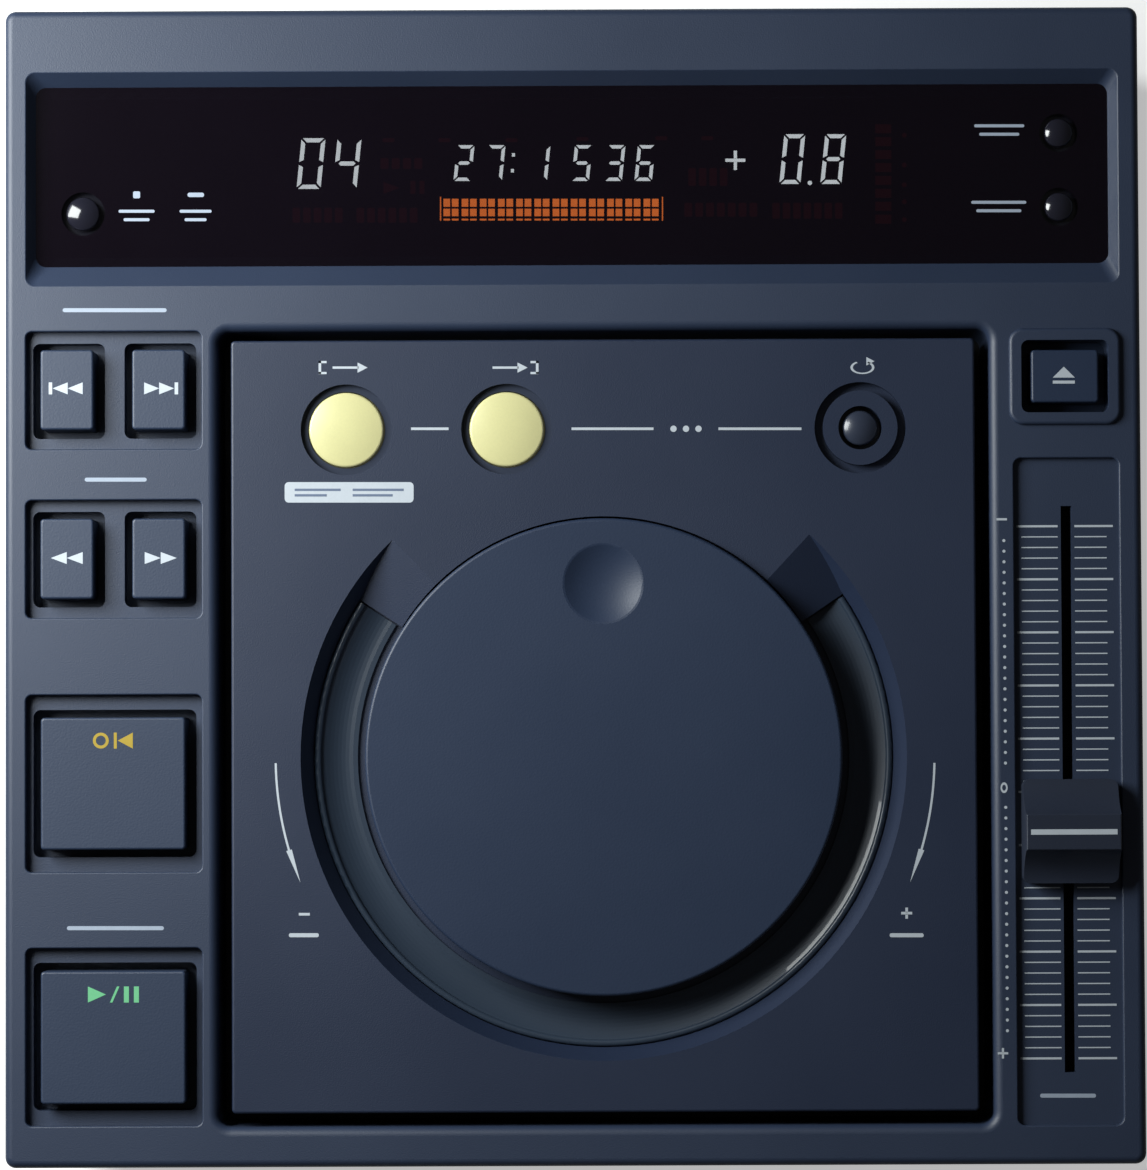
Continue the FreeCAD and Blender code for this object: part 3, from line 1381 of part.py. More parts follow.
def build_lid_parts():
    """What the lid carries: liner, bearing, inner cover, board, switches, sensor, collars and screws."""
    outer = S.moat_foot_radius - S.liner_gap
    inner = jog_pit_radius + S.liner_inner_gap
    rim_top = moat_floor + S.liner_rim_height
    foot_top = moat_floor + S.liner_foot_height
    foot_end = inner + S.liner_foot_width
    lip = outer - S.liner_lip
    span = lip - foot_end
    rise = rim_top - S.liner_step - foot_top
    steps = 8
    bowl = [(foot_end + span * (k / steps),
             foot_top + rise * (k / steps) - S.liner_sag * (4 * (k / steps) * (1 - k / steps)))
            for k in range(steps + 1)]
    profile = [(inner, moat_floor), (outer, moat_floor), (outer, rim_top),
               (lip, rim_top)] + bowl[::-1] + [(inner, foot_top)]
    inset = 0.4
    liner = sector("liner", profile, S.moat_end + inset, moat_sweep - 2 * inset)
    round_body(liner, "liner", S.liner_bead,
               lambda edge: edge.Curve.TypeId == "Part::GeomCircle" and at_height(rim_top)(edge))
    piece(liner, "jog_liner")

    piece(ring("bearing", S.jog_x, S.jog_y, (moat_under, bearing_top), S.bearing_radius,
               S.jog_shaft_radius + S.bearing_gap), "jog_bearing")

    inside_x = grown(lid_x, -S.lid_skirt - S.inner_cover_gap)
    inside_y = grown(lid_y, -S.lid_skirt - S.inner_cover_gap)
    cover = box("inner_plate", inside_x, inside_y, (lid_bottom, inner_cover_top))
    hook_bottom = latch_bottom - S.slide_gap - S.hook_nose_height
    shank = box("hook_shank", (S.hook_left, S.hook_right), (S.hook_front, S.hook_front + S.hook_thickness),
                (hook_bottom, lid_bottom + S.rib_lap))
    nose = box("hook_nose", (S.hook_left, S.hook_right),
               (S.hook_front, S.hook_front + S.hook_thickness + S.hook_nose),
               (hook_bottom, hook_bottom + S.hook_nose_height))
    holes = [upright("clamper_hole", S.jog_x, S.jog_y, (lid_bottom, inner_cover_top),
                     S.clamper_neck_radius + S.clamper_neck_gap)]
    holes += [upright("cover_hole", x, y, (lid_bottom, inner_cover_top), S.pilot_radius)
              for x, y in lid_screws]
    for bracket in (bracket_left, bracket_right):
        holes.append(box("bracket_notch", grown(bracket, S.bracket_slot_gap),
                         (hinge_y - S.hinge_eye_radius - S.bracket_slot_gap * 2, S.lid_back),
                         (lid_bottom, inner_cover_top)))
    piece(cut("inner_cover", joined("inner_cover_solid", [cover, shank, nose]), holes), "lid_inner_cover")

    board = box("lid_board", (S.lid_board_left, S.lid_board_right), (S.lid_board_front, S.lid_board_back),
                (lid_board_bottom, lid_board_top))
    holes = [upright("board_hole", x, y, (lid_board_bottom, lid_board_top), S.pilot_radius)
             for x, y in lid_board_bosses]
    piece(cut("lid_board_cut", board, holes), "lid_board")
    blocks = [switch_block("lid_switch", x, S.loop_row_y, lid_board_top, S.lid_switch_height,
                           S.lid_switch_well)
              for x in (S.loop_in_x, S.loop_out_x, S.reloop_x)]
    piece(group("lid_switch_group", blocks), "lid_switches")

    encoder_bottom = moat_under - S.encoder_drop - S.encoder_sheet
    sensor_top = encoder_bottom - S.slide_gap
    sensor_y = around(S.jog_y - S.sensor_reach, S.sensor_width / 2)
    base = box("sensor_board", around(S.jog_x, S.sensor_board_half),
               around(S.jog_y - S.sensor_reach, S.sensor_width * 0.6),
               (inner_cover_top, sensor_top - S.sensor_height))
    eye = box("sensor_eye", around(S.jog_x, S.sensor_width / 2), sensor_y,
              (sensor_top - S.sensor_height - S.rib_lap, sensor_top))
    piece(joined("sensor", [base, eye]), "jog_sensor")

    rings = [ring("collar", x, S.loop_row_y, (collar_bottom, collar_top), S.loop_hole_radius,
                  S.loop_key_radius + S.loop_key_gap) for x in (S.loop_in_x, S.loop_out_x)]
    piece(group("collars", rings), "button_collars")

    screws = [screw("lid_screw", x, y, lid_bottom - S.screw_head_height, lid_bottom,
                    inner_cover_top + S.boss_radius * 1.5, S.pilot_radius) for x, y in lid_screws]
    piece(group("lid_screw_group", screws), "lid_screws")

    flange_top = collar_bottom - S.slide_gap
    stem_bottom = lid_board_top + S.lid_switch_height - S.lid_stem_reach
    for name, x in (("loop_in_button", S.loop_in_x), ("loop_out_button", S.loop_out_x)):
        round_key(name, x, S.loop_row_y, S.loop_key_radius, deck - S.loop_key_drop + S.loop_dome, S.loop_dome,
                  S.loop_flange_radius, flange_top, S.loop_flange_sheet, stem_bottom)
    reloop_flange = deck - S.reloop_block_drop - S.slide_gap
    round_key("reloop_button", S.reloop_x, S.loop_row_y, S.reloop_key_radius,
              deck - S.reloop_key_drop + S.loop_dome, S.loop_dome * 1.2, S.reloop_flange_radius,
              reloop_flange, S.loop_flange_sheet * 0.6, stem_bottom)


def build_jog():
    """The dial with its finger dimple, its shaft and the encoder disc under the lid floor."""
    top = deck + S.jog_rise
    under = top - S.jog_top_sheet
    skirt_bottom = moat_floor + S.jog_floor_gap
    boss_bottom = deck - S.jog_boss_drop
    shaft_top = top - S.jog_top_sheet / 2
    profile = [(ZERO, shaft_top), (S.jog_shaft_radius, shaft_top), (S.jog_shaft_radius, boss_bottom),
               (S.jog_boss_radius, boss_bottom), (S.jog_boss_radius, under),
               (S.jog_radius - S.jog_skirt, under), (S.jog_radius - S.jog_skirt, skirt_bottom),
               (S.jog_radius, skirt_bottom), (S.jog_radius, top), (ZERO, top)]
    dial = turned("dial", profile, S.jog_x, S.jog_y)
    round_body(dial, "dial", S.jog_edge, at_height(top))
    dimple_y = S.jog_y + S.dimple_offset
    backing = upright("dimple_backing", S.jog_x, dimple_y, (under - S.dimple_depth * 1.2, under + S.rib_lap),
                      S.dimple_backing)
    ball_radius = (S.dimple_radius * S.dimple_radius + S.dimple_depth * S.dimple_depth) / (S.dimple_depth * 2)
    ball = doc.addObject("Part::Sphere", fresh("dimple"))
    bind(ball, "Radius", ball_radius)
    place(ball, S.jog_x, dimple_y, top - S.dimple_depth + ball_radius)
    whole = cut("dial_cut", joined("dial_solid", [dial, backing]), [ball])
    reach = S.dimple_radius * 1.2
    lip = at_height(top, around(S.jog_x, reach), around(dimple_y, reach))
    piece(rounded("dial_round", whole, S.dimple_depth * 0.6, lip), "jog_dial")

    encoder_bottom = moat_under - S.encoder_drop - S.encoder_sheet
    piece(upright("shaft", S.jog_x, S.jog_y, (encoder_bottom - S.slide_gap * 2, shaft_top),
                  S.jog_shaft_radius), "jog_shaft")
    piece(ring("encoder", S.jog_x, S.jog_y, (encoder_bottom, encoder_bottom + S.encoder_sheet),
               S.encoder_radius, S.jog_shaft_radius), "encoder_disc")


def build_clamper():
    """The disc clamper hangs in the inner cover's hole by its top flange."""
    bottom = disc_level + S.disc_thickness + S.clamper_disc_gap
    plate_top = bottom + S.clamper_plate_height
    flange_bottom = inner_cover_top + S.slide_gap
    flange_top = flange_bottom + S.clamper_flange_sheet
    recess_top = bottom + S.clamper_recess_depth
    steel_top = recess_top + S.clamper_steel_height
    profile = [(S.clamper_recess_radius, bottom), (S.clamper_radius, bottom), (S.clamper_radius, plate_top),
               (S.clamper_neck_radius, plate_top), (S.clamper_neck_radius, flange_bottom),
               (S.clamper_flange_radius, flange_bottom), (S.clamper_flange_radius, flange_top),
               (ZERO, flange_top), (ZERO, steel_top), (S.clamper_steel_radius, steel_top),
               (S.clamper_steel_radius, recess_top), (S.clamper_recess_radius, recess_top)]
    piece(turned("clamper", profile, S.jog_x, S.jog_y), "disc_clamper")
    piece(upright("steel", S.jog_x, S.jog_y, (recess_top, steel_top), S.clamper_steel_radius),
          "clamper_plate")


def build_turntable():
    """The hub that carries the disc, its spindle and the motor."""
    hub_bottom = disc_level - S.hub_platform
    neck_bottom = hub_bottom - S.hub_neck_length
    cone_top = disc_level + S.hub_cone_height
    profile = [(ZERO, disc_level), (ZERO, cone_top), (S.hub_cone_top_radius * 0.85, cone_top),
               (S.hub_cone_top_radius, cone_top - S.rib_lap * 5), (S.hub_cone_radius, disc_level),
               (S.hub_radius, disc_level), (S.hub_radius, hub_bottom), (S.hub_neck_radius, hub_bottom),
               (S.hub_neck_radius, neck_bottom), (S.spindle_radius, neck_bottom),
               (S.spindle_radius, disc_level)]
    piece(turned("hub", profile, S.jog_x, S.jog_y), "turntable_hub")
    spindle_bottom = disc_level - S.spindle_length
    piece(upright("spindle", S.jog_x, S.jog_y, (spindle_bottom, disc_level), S.spindle_radius),
          "spindle_shaft")

    motor_top = chassis_top - S.chassis_sheet
    nose_top = motor_top + S.motor_nose_height
    motor = joined("motor", [upright("motor_can", S.jog_x, S.jog_y,
                                     (motor_top - S.spindle_motor_height, motor_top), S.spindle_motor_radius),
                             upright("motor_nose", S.jog_x, S.jog_y,
                                     (motor_top - S.rib_lap, nose_top), S.motor_nose_radius)])
    bore = upright("motor_bore", S.jog_x, S.jog_y, (spindle_bottom - S.slide_gap * 2, nose_top),
                   S.spindle_radius + S.bearing_gap)
    piece(cut("motor_cut", motor, [bore]), "spindle_motor")


rack_pitch_x = S.jog_x + S.sled_half_width + S.rack_gap + S.rack_back + S.rack_module
pinion_radius = S.rack_module * S.pinion_teeth / 2
pinion_x = rack_pitch_x + pinion_radius


def gear_shape(teeth, module, thickness, backlash):
    """A spur gear with involute flanks, its tooth middles at multiples of the pitch angle."""
    pitch = module * teeth / 2
    base = pitch * math.cos(math.radians(20))
    tip = pitch + module * 0.9
    root = pitch - module * 1.2
    half_pitch_angle = math.pi / (2 * teeth) - backlash / (4 * pitch)
    lead = math.tan(math.radians(20)) - math.radians(20)

    def flank_angle(radius):
        if radius <= base:
            return half_pitch_angle + lead
        pressure = math.acos(base / radius)
        return half_pitch_angle + lead - (math.tan(pressure) - pressure)

    radii = [root] + [max(base, root) + (tip - max(base, root)) * k / 4 for k in range(5)]
    points = []
    for tooth in range(teeth):
        centre = 2 * math.pi * tooth / teeth
        for radius in radii:
            angle = centre - flank_angle(radius)
            points.append(Vector(radius * math.cos(angle), radius * math.sin(angle), 0))
        for radius in reversed(radii):
            angle = centre + flank_angle(radius)
            points.append(Vector(radius * math.cos(angle), radius * math.sin(angle), 0))
    face = Part.Face(Part.makePolygon(points + points[:1]))
    return face.extrude(Vector(0, 0, thickness))


def rack_shape(module, first, last, phase, back, thickness, backlash):
    """A straight rack whose teeth point to +X from a bar; tooth middles at phase + n pitches."""
    pitch = math.pi * module
    tip, root = module * 0.9, -module * 1.2
    slope = math.tan(math.radians(20))
    half = pitch / 4 - backlash / 4
    bar = [Vector(root - back, first, 0), Vector(root, first, 0),
           Vector(root, last, 0), Vector(root - back, last, 0)]
    solids = [Part.Face(Part.makePolygon(bar + bar[:1])).extrude(Vector(0, 0, thickness))]
    count = math.ceil((first - phase) / pitch + 0.5)
    while phase + (count + 0.5) * pitch < last:
        y = phase + count * pitch
        tooth = [Vector(root, y - half + root * slope, 0), Vector(tip, y - half + tip * slope, 0),
                 Vector(tip, y + half - tip * slope, 0), Vector(root, y + half - root * slope, 0)]
        solids.append(Part.Face(Part.makePolygon(tooth + tooth[:1])).extrude(Vector(0, 0, thickness)))
        count += 1
    return solids[0].multiFuse(solids[1:]).removeSplitter()


def build_sled():
    """The laser pickup on two rods, driven along them by a rack and a motor pinion."""
    sled_y = (lens_y - S.sled_ahead, lens_y + S.sled_behind)
    carriage = box("carriage", around(S.jog_x, S.sled_half_width), sled_y, (sled_bottom, sled_top))
    turret = upright("turret", S.jog_x, lens_y, (sled_top - S.rib_lap, sled_top + S.turret_height),
                     S.turret_radius)
    pitch = math.pi * S.rack_module.value
    rack = doc.addObject("Part::Feature", fresh("rack"))
    rack.Shape = rack_shape(S.rack_module.value, S.rack_front_y.value, S.rack_back_y.value,
                            S.pinion_y.value + pitch / 2, S.rack_back.value - S.rack_module.value * 0.2,
                            S.rack_height.value, S.tooth_backlash.value)
    rack.Placement = FreeCAD.Placement(Vector(rack_pitch_x.value, 0, sled_bottom.value), Rotation())
    bridge_x = (S.jog_x + S.sled_half_width - S.rib_lap,
                S.jog_x + S.sled_half_width + S.rack_gap + S.rack_back / 2)
    bridge = box("rack_bridge", bridge_x, (sled_y[0], S.rack_back_y),
                 (sled_bottom, sled_bottom + S.rack_height))
    rods = []
    bores = []
    rod_z = chassis_top + S.rod_height
    for side in (-1, 1):
        x = S.jog_x + side * S.rod_spread
        bores.append(rod("sled_bore", x, sled_y[0] - S.rib_lap, rod_z, S.rod_radius + S.bearing_gap,
                         S.sled_ahead + S.sled_behind + S.rib_lap * 2, "y"))
        rods.append(rod("guide_rod", x, S.rod_front, rod_z, S.rod_radius, S.rod_back - S.rod_front, "y"))
    piece(cut("sled", joined("sled_solid", [carriage, turret, rack, bridge]), bores), "pickup_sled")
    piece(group("rods", rods), "guide_rods")
    seat = sled_top + S.turret_height
    piece(turned("lens", [(ZERO, seat), (S.lens_radius, seat),
                          (S.lens_radius, seat + S.lens_height * 0.3),
                          (S.lens_radius * 0.6, seat + S.lens_height * 0.8),
                          (ZERO, seat + S.lens_height)], S.jog_x, lens_y), "pickup_lens")

    teeth = int(S.pinion_teeth.value)
    gear = doc.addObject("Part::Feature", fresh("pinion"))
    wheel = gear_shape(teeth, S.rack_module.value, S.pinion_height.value, S.tooth_backlash.value)
    wheel.translate(Vector(0, 0, sled_bottom.value))
    motor_top = chassis_top - S.chassis_sheet
    shaft_bottom = motor_top - S.sled_motor_height * 0.6
    shaft_length = sled_bottom - shaft_bottom + S.rib_lap
    shaft = Part.makeCylinder(S.sled_motor_shaft.value, shaft_length.value,
                              Vector(0, 0, shaft_bottom.value))
    gear.Shape = wheel.fuse(shaft).removeSplitter()
    gear.Placement = FreeCAD.Placement(Vector(pinion_x.value, S.pinion_y.value, 0), Rotation())
    piece(gear, "sled_pinion")

    can = upright("sled_motor", pinion_x, S.pinion_y, (motor_top - S.sled_motor_height, motor_top),
                  S.sled_motor_radius)
    bore = upright("sled_motor_bore", pinion_x, S.pinion_y, (shaft_bottom - S.slide_gap * 2, motor_top),
                   S.sled_motor_shaft + S.bearing_gap)
    piece(cut("sled_motor_cut", can, [bore]), "sled_motor")

    dampers = [ring("damper", x, y, (chassis_top, chassis_top + S.damper_height), S.damper_radius,
                    S.damper_screw_radius + S.damper_bore_gap) for x, y, roof in damper_posts()]
    piece(group("damper_group", dampers), "chassis_dampers")

    adds = [box("chassis_plate", (S.chassis_left, S.chassis_right), (S.chassis_front, S.chassis_back),
                (motor_top, chassis_top))]
    cuts = [upright("nose_hole", S.jog_x, S.jog_y, (motor_top, chassis_top),
                    S.motor_nose_radius + S.motor_nose_gap),
            upright("pinion_hole", pinion_x, S.pinion_y, (motor_top, chassis_top),
                    S.sled_motor_shaft + S.motor_nose_gap * 2)]
    for side in (-1, 1):
        x = S.jog_x + side * S.rod_spread
        for y in (S.rod_front, S.rod_back - S.rod_post_length):
            adds.append(box("rod_post", around(x, S.rod_post_half), (y, y + S.rod_post_length),
                            (chassis_top - S.rib_lap, rod_z + S.rod_post_half)))
        cuts.append(rod("rod_seat", x, S.rod_front, rod_z, S.rod_radius, S.rod_back - S.rod_front, "y"))
    for x, y, roof in damper_posts():
        cuts.append(upright("damper_hole", x, y, (motor_top, chassis_top),
                            S.damper_screw_radius + S.damper_bore_gap))
    piece(cut("chassis", joined("chassis_solid", adds), cuts), "mech_chassis")


def build_fader():
    """The slide fader under the deck, its lever and its cap."""
    body_y = grown(lever_y, S.wiper_length / 2 + S.fader_body_end)
    body_x = around(S.fader_x, S.fader_body_width / 2)
    bottom = under_deck - S.fader_body_height
    inside_z = (bottom + S.fader_body_wall, under_deck - S.fader_body_wall)
    inside_y = grown(body_y, -S.fader_body_wall * 2)
    block = box("fader_block", body_x, body_y, (bottom, under_deck))
    hollow = [box("fader_inside", grown(body_x, -S.fader_body_wall), inside_y, inside_z),
              box("fader_mouth", around(S.fader_x, S.fader_slot_width / 2), fader_slot_y,
                  (under_deck - S.fader_body_wall, under_deck))]
    piece(cut("fader_body_cut", block, hollow), "fader_body")

    wiper = box("wiper", grown(grown(body_x, -S.fader_body_wall), -S.slide_gap),
                around(S.fader_rest_y, S.wiper_length / 2),
                (inside_z[0] + S.slide_gap, inside_z[0] + S.slide_gap + S.wiper_height))
    cap_bottom = fader_floor + S.cap_lift
    grip_top = cap_bottom + S.cap_lever_grip
    blade_x = around(S.fader_x, S.lever_thickness / 2)
    blade_y = around(S.fader_rest_y, S.lever_length / 2)
    blade = box("lever", blade_x, blade_y, (inside_z[0] + S.slide_gap + S.wiper_height - S.rib_lap, grip_top))
    piece(joined("lever_solid", [wiper, blade]), "fader_lever")

    cap_top = cap_bottom + S.cap_height
    cap_x = around(S.fader_x, S.cap_width / 2)
    block = plate("cap_block", cap_x, around(S.fader_rest_y, S.cap_length / 2), (cap_bottom, cap_top),
                  S.cap_corner)
    scoop_z = cap_top + S.cap_scoop_above
    reach = S.cap_ridge / 2 + root(S.cap_scoop_radius, S.cap_scoop_above)
    scoops = [rod("cap_scoop", cap_x[0] - S.rib_lap, S.fader_rest_y + side * reach, scoop_z,
                  S.cap_scoop_radius, S.cap_width + S.rib_lap * 2, "x") for side in (-1, 1)]
    pocket = box("cap_pocket", blade_x, blade_y, (cap_bottom, grip_top))
    cap = cut("cap_cut", block, scoops + [pocket])
    piece(rounded("cap", cap, S.cap_edge, at_height(cap_top)), "fader_cap")


def root(radius, rise):
    """How far from a circle's middle it is cut by a line that lies rise away."""
    value = math.sqrt(radius.value ** 2 - rise.value ** 2)
    return Size(f"sqrt({radius.text} * {radius.text} - {rise.text} * {rise.text})", value)


def build_rear():
    """The sunk rear panel with its audio, digital and control sockets, power inlet and switch."""
    plate_x = grown(rear_opening_x, S.rear_lip)
    plate_z = grown(rear_opening_z, S.rear_lip - S.slide_gap)
    back = box("rear_plate", plate_x, (rear_back, rear_face), plate_z)
    outer = box("rear_wall_outer", grown(rear_opening_x, S.rear_sheet), (rear_face - S.rib_lap, inner_y[1]),
                grown(rear_opening_z, S.rear_sheet))
    inner = box("rear_wall_inner", rear_opening_x, (rear_face - S.rib_lap, inner_y[1]), rear_opening_z)
    walls = cut("rear_walls", outer, [inner])
    sockets = [(S.left_jack_x, S.jack_sleeve_radius), (S.right_jack_x, S.jack_sleeve_radius),
               (S.digital_jack_x, S.jack_sleeve_radius), (S.control_jack_x, S.mini_jack_radius)]
    holes = [rod("socket_hole", x, rear_back, S.jack_z, radius, S.rear_sheet, "y") for x, radius in sockets]
    holes.append(box("inlet_hole", around(S.inlet_x, S.inlet_width / 2), (rear_back, rear_face),
                     around(S.inlet_z, S.inlet_height / 2)))
    housing_half_x = S.rocker_width / 2 + S.rocker_gap + S.switch_wall
    housing_half_z = S.rocker_radius + S.rocker_gap + S.switch_wall
    holes.append(box("switch_hole", around(S.switch_x, housing_half_x), (rear_back, rear_face),
                     around(S.switch_z, housing_half_z)))
    piece(cut("rear", joined("rear_solid", [back, walls]), holes), "rear_panel")

    jacks = []
    for x in (S.left_jack_x, S.right_jack_x, S.digital_jack_x):
        block = box("jack_block", around(x, S.jack_block_width / 2),
                    (rear_back - S.jack_block_depth, rear_back),
                    around(S.jack_z, S.jack_block_width / 2))
        sleeve = rod("jack_sleeve", x, rear_back - S.rib_lap, S.jack_z, S.jack_sleeve_radius,
                     S.rear_sheet + S.jack_sleeve_length, "y")
        bore = cut("jack_bore",
                   rod("jack_bore_outer", x, rear_face, S.jack_z, S.jack_sleeve_bore,
                       S.jack_sleeve_length, "y"),
                   [rod("jack_contact", x, rear_face, S.jack_z, S.jack_pin_bore * 1.4,
                        S.jack_sleeve_length * 0.8, "y")])
        pin = rod("jack_pin_bore", x, rear_face, S.jack_z, S.jack_pin_bore, S.jack_sleeve_length, "y")
        jacks.append(cut("jack", joined("jack_solid", [block, sleeve]), [bore, pin]))
    mini_block = box("mini_block", around(S.control_jack_x, S.jack_block_width / 2),
                     (rear_back - S.jack_block_depth, rear_back), around(S.jack_z, S.jack_block_width / 2))
    mini_sleeve = rod("mini_sleeve", S.control_jack_x, rear_back - S.rib_lap, S.jack_z, S.mini_jack_radius,
                      S.rear_sheet + S.mini_jack_length, "y")
    mini_bore = rod("mini_bore", S.control_jack_x, rear_back - S.jack_block_depth * 0.8, S.jack_z,
                    S.mini_jack_bore, S.jack_block_depth + S.mini_jack_length + S.rear_sheet, "y")
    jacks.append(cut("mini_jack", joined("mini_solid", [mini_block, mini_sleeve]), [mini_bore]))
    piece(group("jacks", jacks), "rear_jacks")

    flange_y = (rear_face, rear_face + S.inlet_flange)
    shell = joined("inlet_solid", [
        box("inlet_body", around(S.inlet_x, S.inlet_width / 2), (rear_face - S.inlet_depth, flange_y[1]),
            around(S.inlet_z, S.inlet_height / 2)),
        box("inlet_flange", around(S.inlet_x, S.inlet_width / 2 + S.inlet_flange), flange_y,
            around(S.inlet_z, S.inlet_height / 2 + S.inlet_flange))])
    socket_y = (flange_y[1] - S.inlet_socket_depth, flange_y[1])
    lobe = S.inlet_socket_height / 2
    lobe_x = S.inlet_socket_width / 2 - lobe
    mouths = [box("socket_waist", around(S.inlet_x, lobe_x), socket_y, around(S.inlet_z, lobe * 0.8))]
    pins = []
    for side in (-1, 1):
        mouths.append(rod("socket_lobe", S.inlet_x + side * lobe_x, socket_y[0], S.inlet_z, lobe,
                          S.inlet_socket_depth, "y"))
        pins.append(rod("inlet_pin", S.inlet_x + side * S.inlet_pin_pitch / 2, socket_y[0] - S.rib_lap,
                        S.inlet_z, S.inlet_pin_radius, S.inlet_pin_length, "y"))
    piece(joined("inlet", [cut("inlet_cut", shell, mouths)] + pins), "power_inlet")

    axis_y = rear_face + S.switch_flange - S.rib_lap * 2
    housing = joined("switch_solid", [
        box("switch_body", around(S.switch_x, housing_half_x),
            (axis_y - S.rocker_radius - S.rocker_gap - S.switch_wall, rear_face + S.switch_flange),
            around(S.switch_z, housing_half_z)),
        box("switch_flange", around(S.switch_x, housing_half_x + S.switch_flange),
            (rear_face, rear_face + S.switch_flange),
            around(S.switch_z, housing_half_z + S.switch_flange))])
    cavity = rod("switch_cavity", S.switch_x - S.rocker_width / 2 - S.rocker_gap, axis_y, S.switch_z,
                 S.rocker_radius + S.rocker_gap, S.rocker_width + S.rocker_gap * 2, "x")
    mouth = box("switch_mouth", around(S.switch_x, S.rocker_width / 2 + S.rocker_gap),
                (axis_y, rear_face + S.switch_flange + S.rib_lap),
                around(S.switch_z, S.rocker_radius + S.rocker_gap))
    piece(cut("switch_housing", housing, [cavity, mouth]), "power_switch_housing")
    drum = rod("rocker_drum", S.switch_x - S.rocker_width / 2, axis_y, S.switch_z, S.rocker_radius,
               S.rocker_width, "x")
    piece(cut("rocker_cut", drum, [rocker_face("rocker_face", axis_y)]), "power_rocker")


def rocker_face(name, axis_y):
    """What is cut off the rocker's drum to leave its shallow V face, tilted for the rest position."""
    size = S.rocker_radius.value * 3
    half = S.rocker_width.value
    tilt = math.radians(S.rocker_angle.value / 2)
    depth = 1.6
    across = size * math.cos(tilt)
    out = size * math.sin(tilt)
    corners = [(depth, 0), (depth + out, across), (depth + out + size, across),
               (depth + out + size, -across), (depth + out, -across)]
    points = [Vector(-half, y, z) for y, z in corners]
    face = Part.Face(Part.makePolygon(points + points[:1]))
    solid = face.extrude(Vector(2 * half, 0, 0))
    solid.rotate(Vector(0, 0, 0), Vector(1, 0, 0), S.rocker_throw.value / 2)
    solid.translate(Vector(S.switch_x.value, axis_y.value, S.switch_z.value))
    item = doc.addObject("Part::Feature", fresh(name))
    item.Shape = solid
    return item


def build_electronics():
    """The main board with its chips and capacitors, and the power transformer."""
    base = pan_top + S.standoff_height
    top = base + S.board_sheet
    board_x = (S.board_left, S.board_right)
    board_y = (S.board_front, S.board_back)
    board = box("main_board_plate", board_x, board_y, (base, top))
    holes = [upright("board_hole", x, y, (base, top), S.pilot_radius)
             for x in grown(board_x, -S.standoff_inset) for y in grown(board_y, -S.standoff_inset)]
    parts = [cut("main_board_cut", board, holes)]
    width = board_x[1] - board_x[0]
    depth = board_y[1] - board_y[0]
    chips = [(0.30, 0.30, 0.10), (0.62, 0.34, 0.08), (0.40, 0.62, 0.07), (0.75, 0.66, 0.06)]
    for across, along, share in chips:
        x = board_x[0] + width * across
        y = board_y[0] + depth * along
        half = width * share
        parts.append(box("chip", around(x, half), around(y, half), (top, top + S.chip_height)))
    for index in range(int(S.capacitor_count.value)):
        x = board_x[0] + S.standoff_inset * 3 + S.capacitor_pitch * index
        y = board_y[1] - S.standoff_inset
        parts.append(upright("capacitor", x, y, (top, top + S.capacitor_height), S.capacitor_radius))
    piece(group("main_board_group", parts), "main_board")

    x = (S.transformer_left, S.transformer_right)
    y = (S.transformer_front, S.transformer_back)
    z = (pan_top, pan_top + S.transformer_height)
    coil = box("coil", grown(x, -S.coil_margin), grown(y, S.coil_bulge), grown(z, -S.coil_margin))
    piece(joined("transformer", [box("core", x, y, z), coil]), "power_transformer")


build_top_cover()
build_base()
build_display()
build_keys()
build_open_key()
build_latch()
build_disc_well()
build_hinge()
build_lid_panel()
build_lid_parts()
build_jog()
build_clamper()
build_turntable()
build_sled()
build_fader()
build_rear()
build_electronics()

doc.recompute()
troubles = []
for item in doc.Objects:
    if "Invalid" in item.State or "Error" in item.State:
        troubles.append(f"{item.Name}: {item.State}")
for item in pieces:
    if item.Shape.isNull() or not item.Shape.isValid():
        troubles.append(f"{item.Label}: bad shape")
    elif not item.Shape.Solids:
        troubles.append(f"{item.Label}: no solid")
if troubles:
    raise RuntimeError("\n".join(troubles))

os.makedirs("parts", exist_ok=True)
for item in pieces:
    item.Shape.exportStep(os.path.join("parts", item.Label + ".step"))
print(f"{len(pieces)} sub-parts written")
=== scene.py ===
import bpy
import bmesh
import math
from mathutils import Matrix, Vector


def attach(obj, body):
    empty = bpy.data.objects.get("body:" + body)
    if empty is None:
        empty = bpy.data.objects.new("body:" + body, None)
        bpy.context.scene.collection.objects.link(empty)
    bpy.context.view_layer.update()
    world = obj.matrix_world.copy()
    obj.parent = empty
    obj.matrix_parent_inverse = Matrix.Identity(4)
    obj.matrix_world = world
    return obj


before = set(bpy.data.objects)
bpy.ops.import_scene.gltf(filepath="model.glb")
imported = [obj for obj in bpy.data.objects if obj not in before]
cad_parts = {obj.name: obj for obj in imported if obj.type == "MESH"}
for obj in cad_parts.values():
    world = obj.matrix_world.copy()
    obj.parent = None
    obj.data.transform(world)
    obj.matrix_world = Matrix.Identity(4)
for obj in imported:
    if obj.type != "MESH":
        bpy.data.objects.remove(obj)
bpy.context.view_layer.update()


# Heights and distances in mm
MM = 0.001
DECK_Z = 86.0
CAMERA_DISTANCE = 850.0
TILT = math.radians(1.9)
ROLL = math.radians(0.236)
PX_PER_MM = 5.268
IMAGE_HEIGHT = 1170
SENSOR = 36.0
eye = Vector((0.0, -CAMERA_DISTANCE * math.sin(TILT), DECK_Z + CAMERA_DISTANCE * math.cos(TILT)))

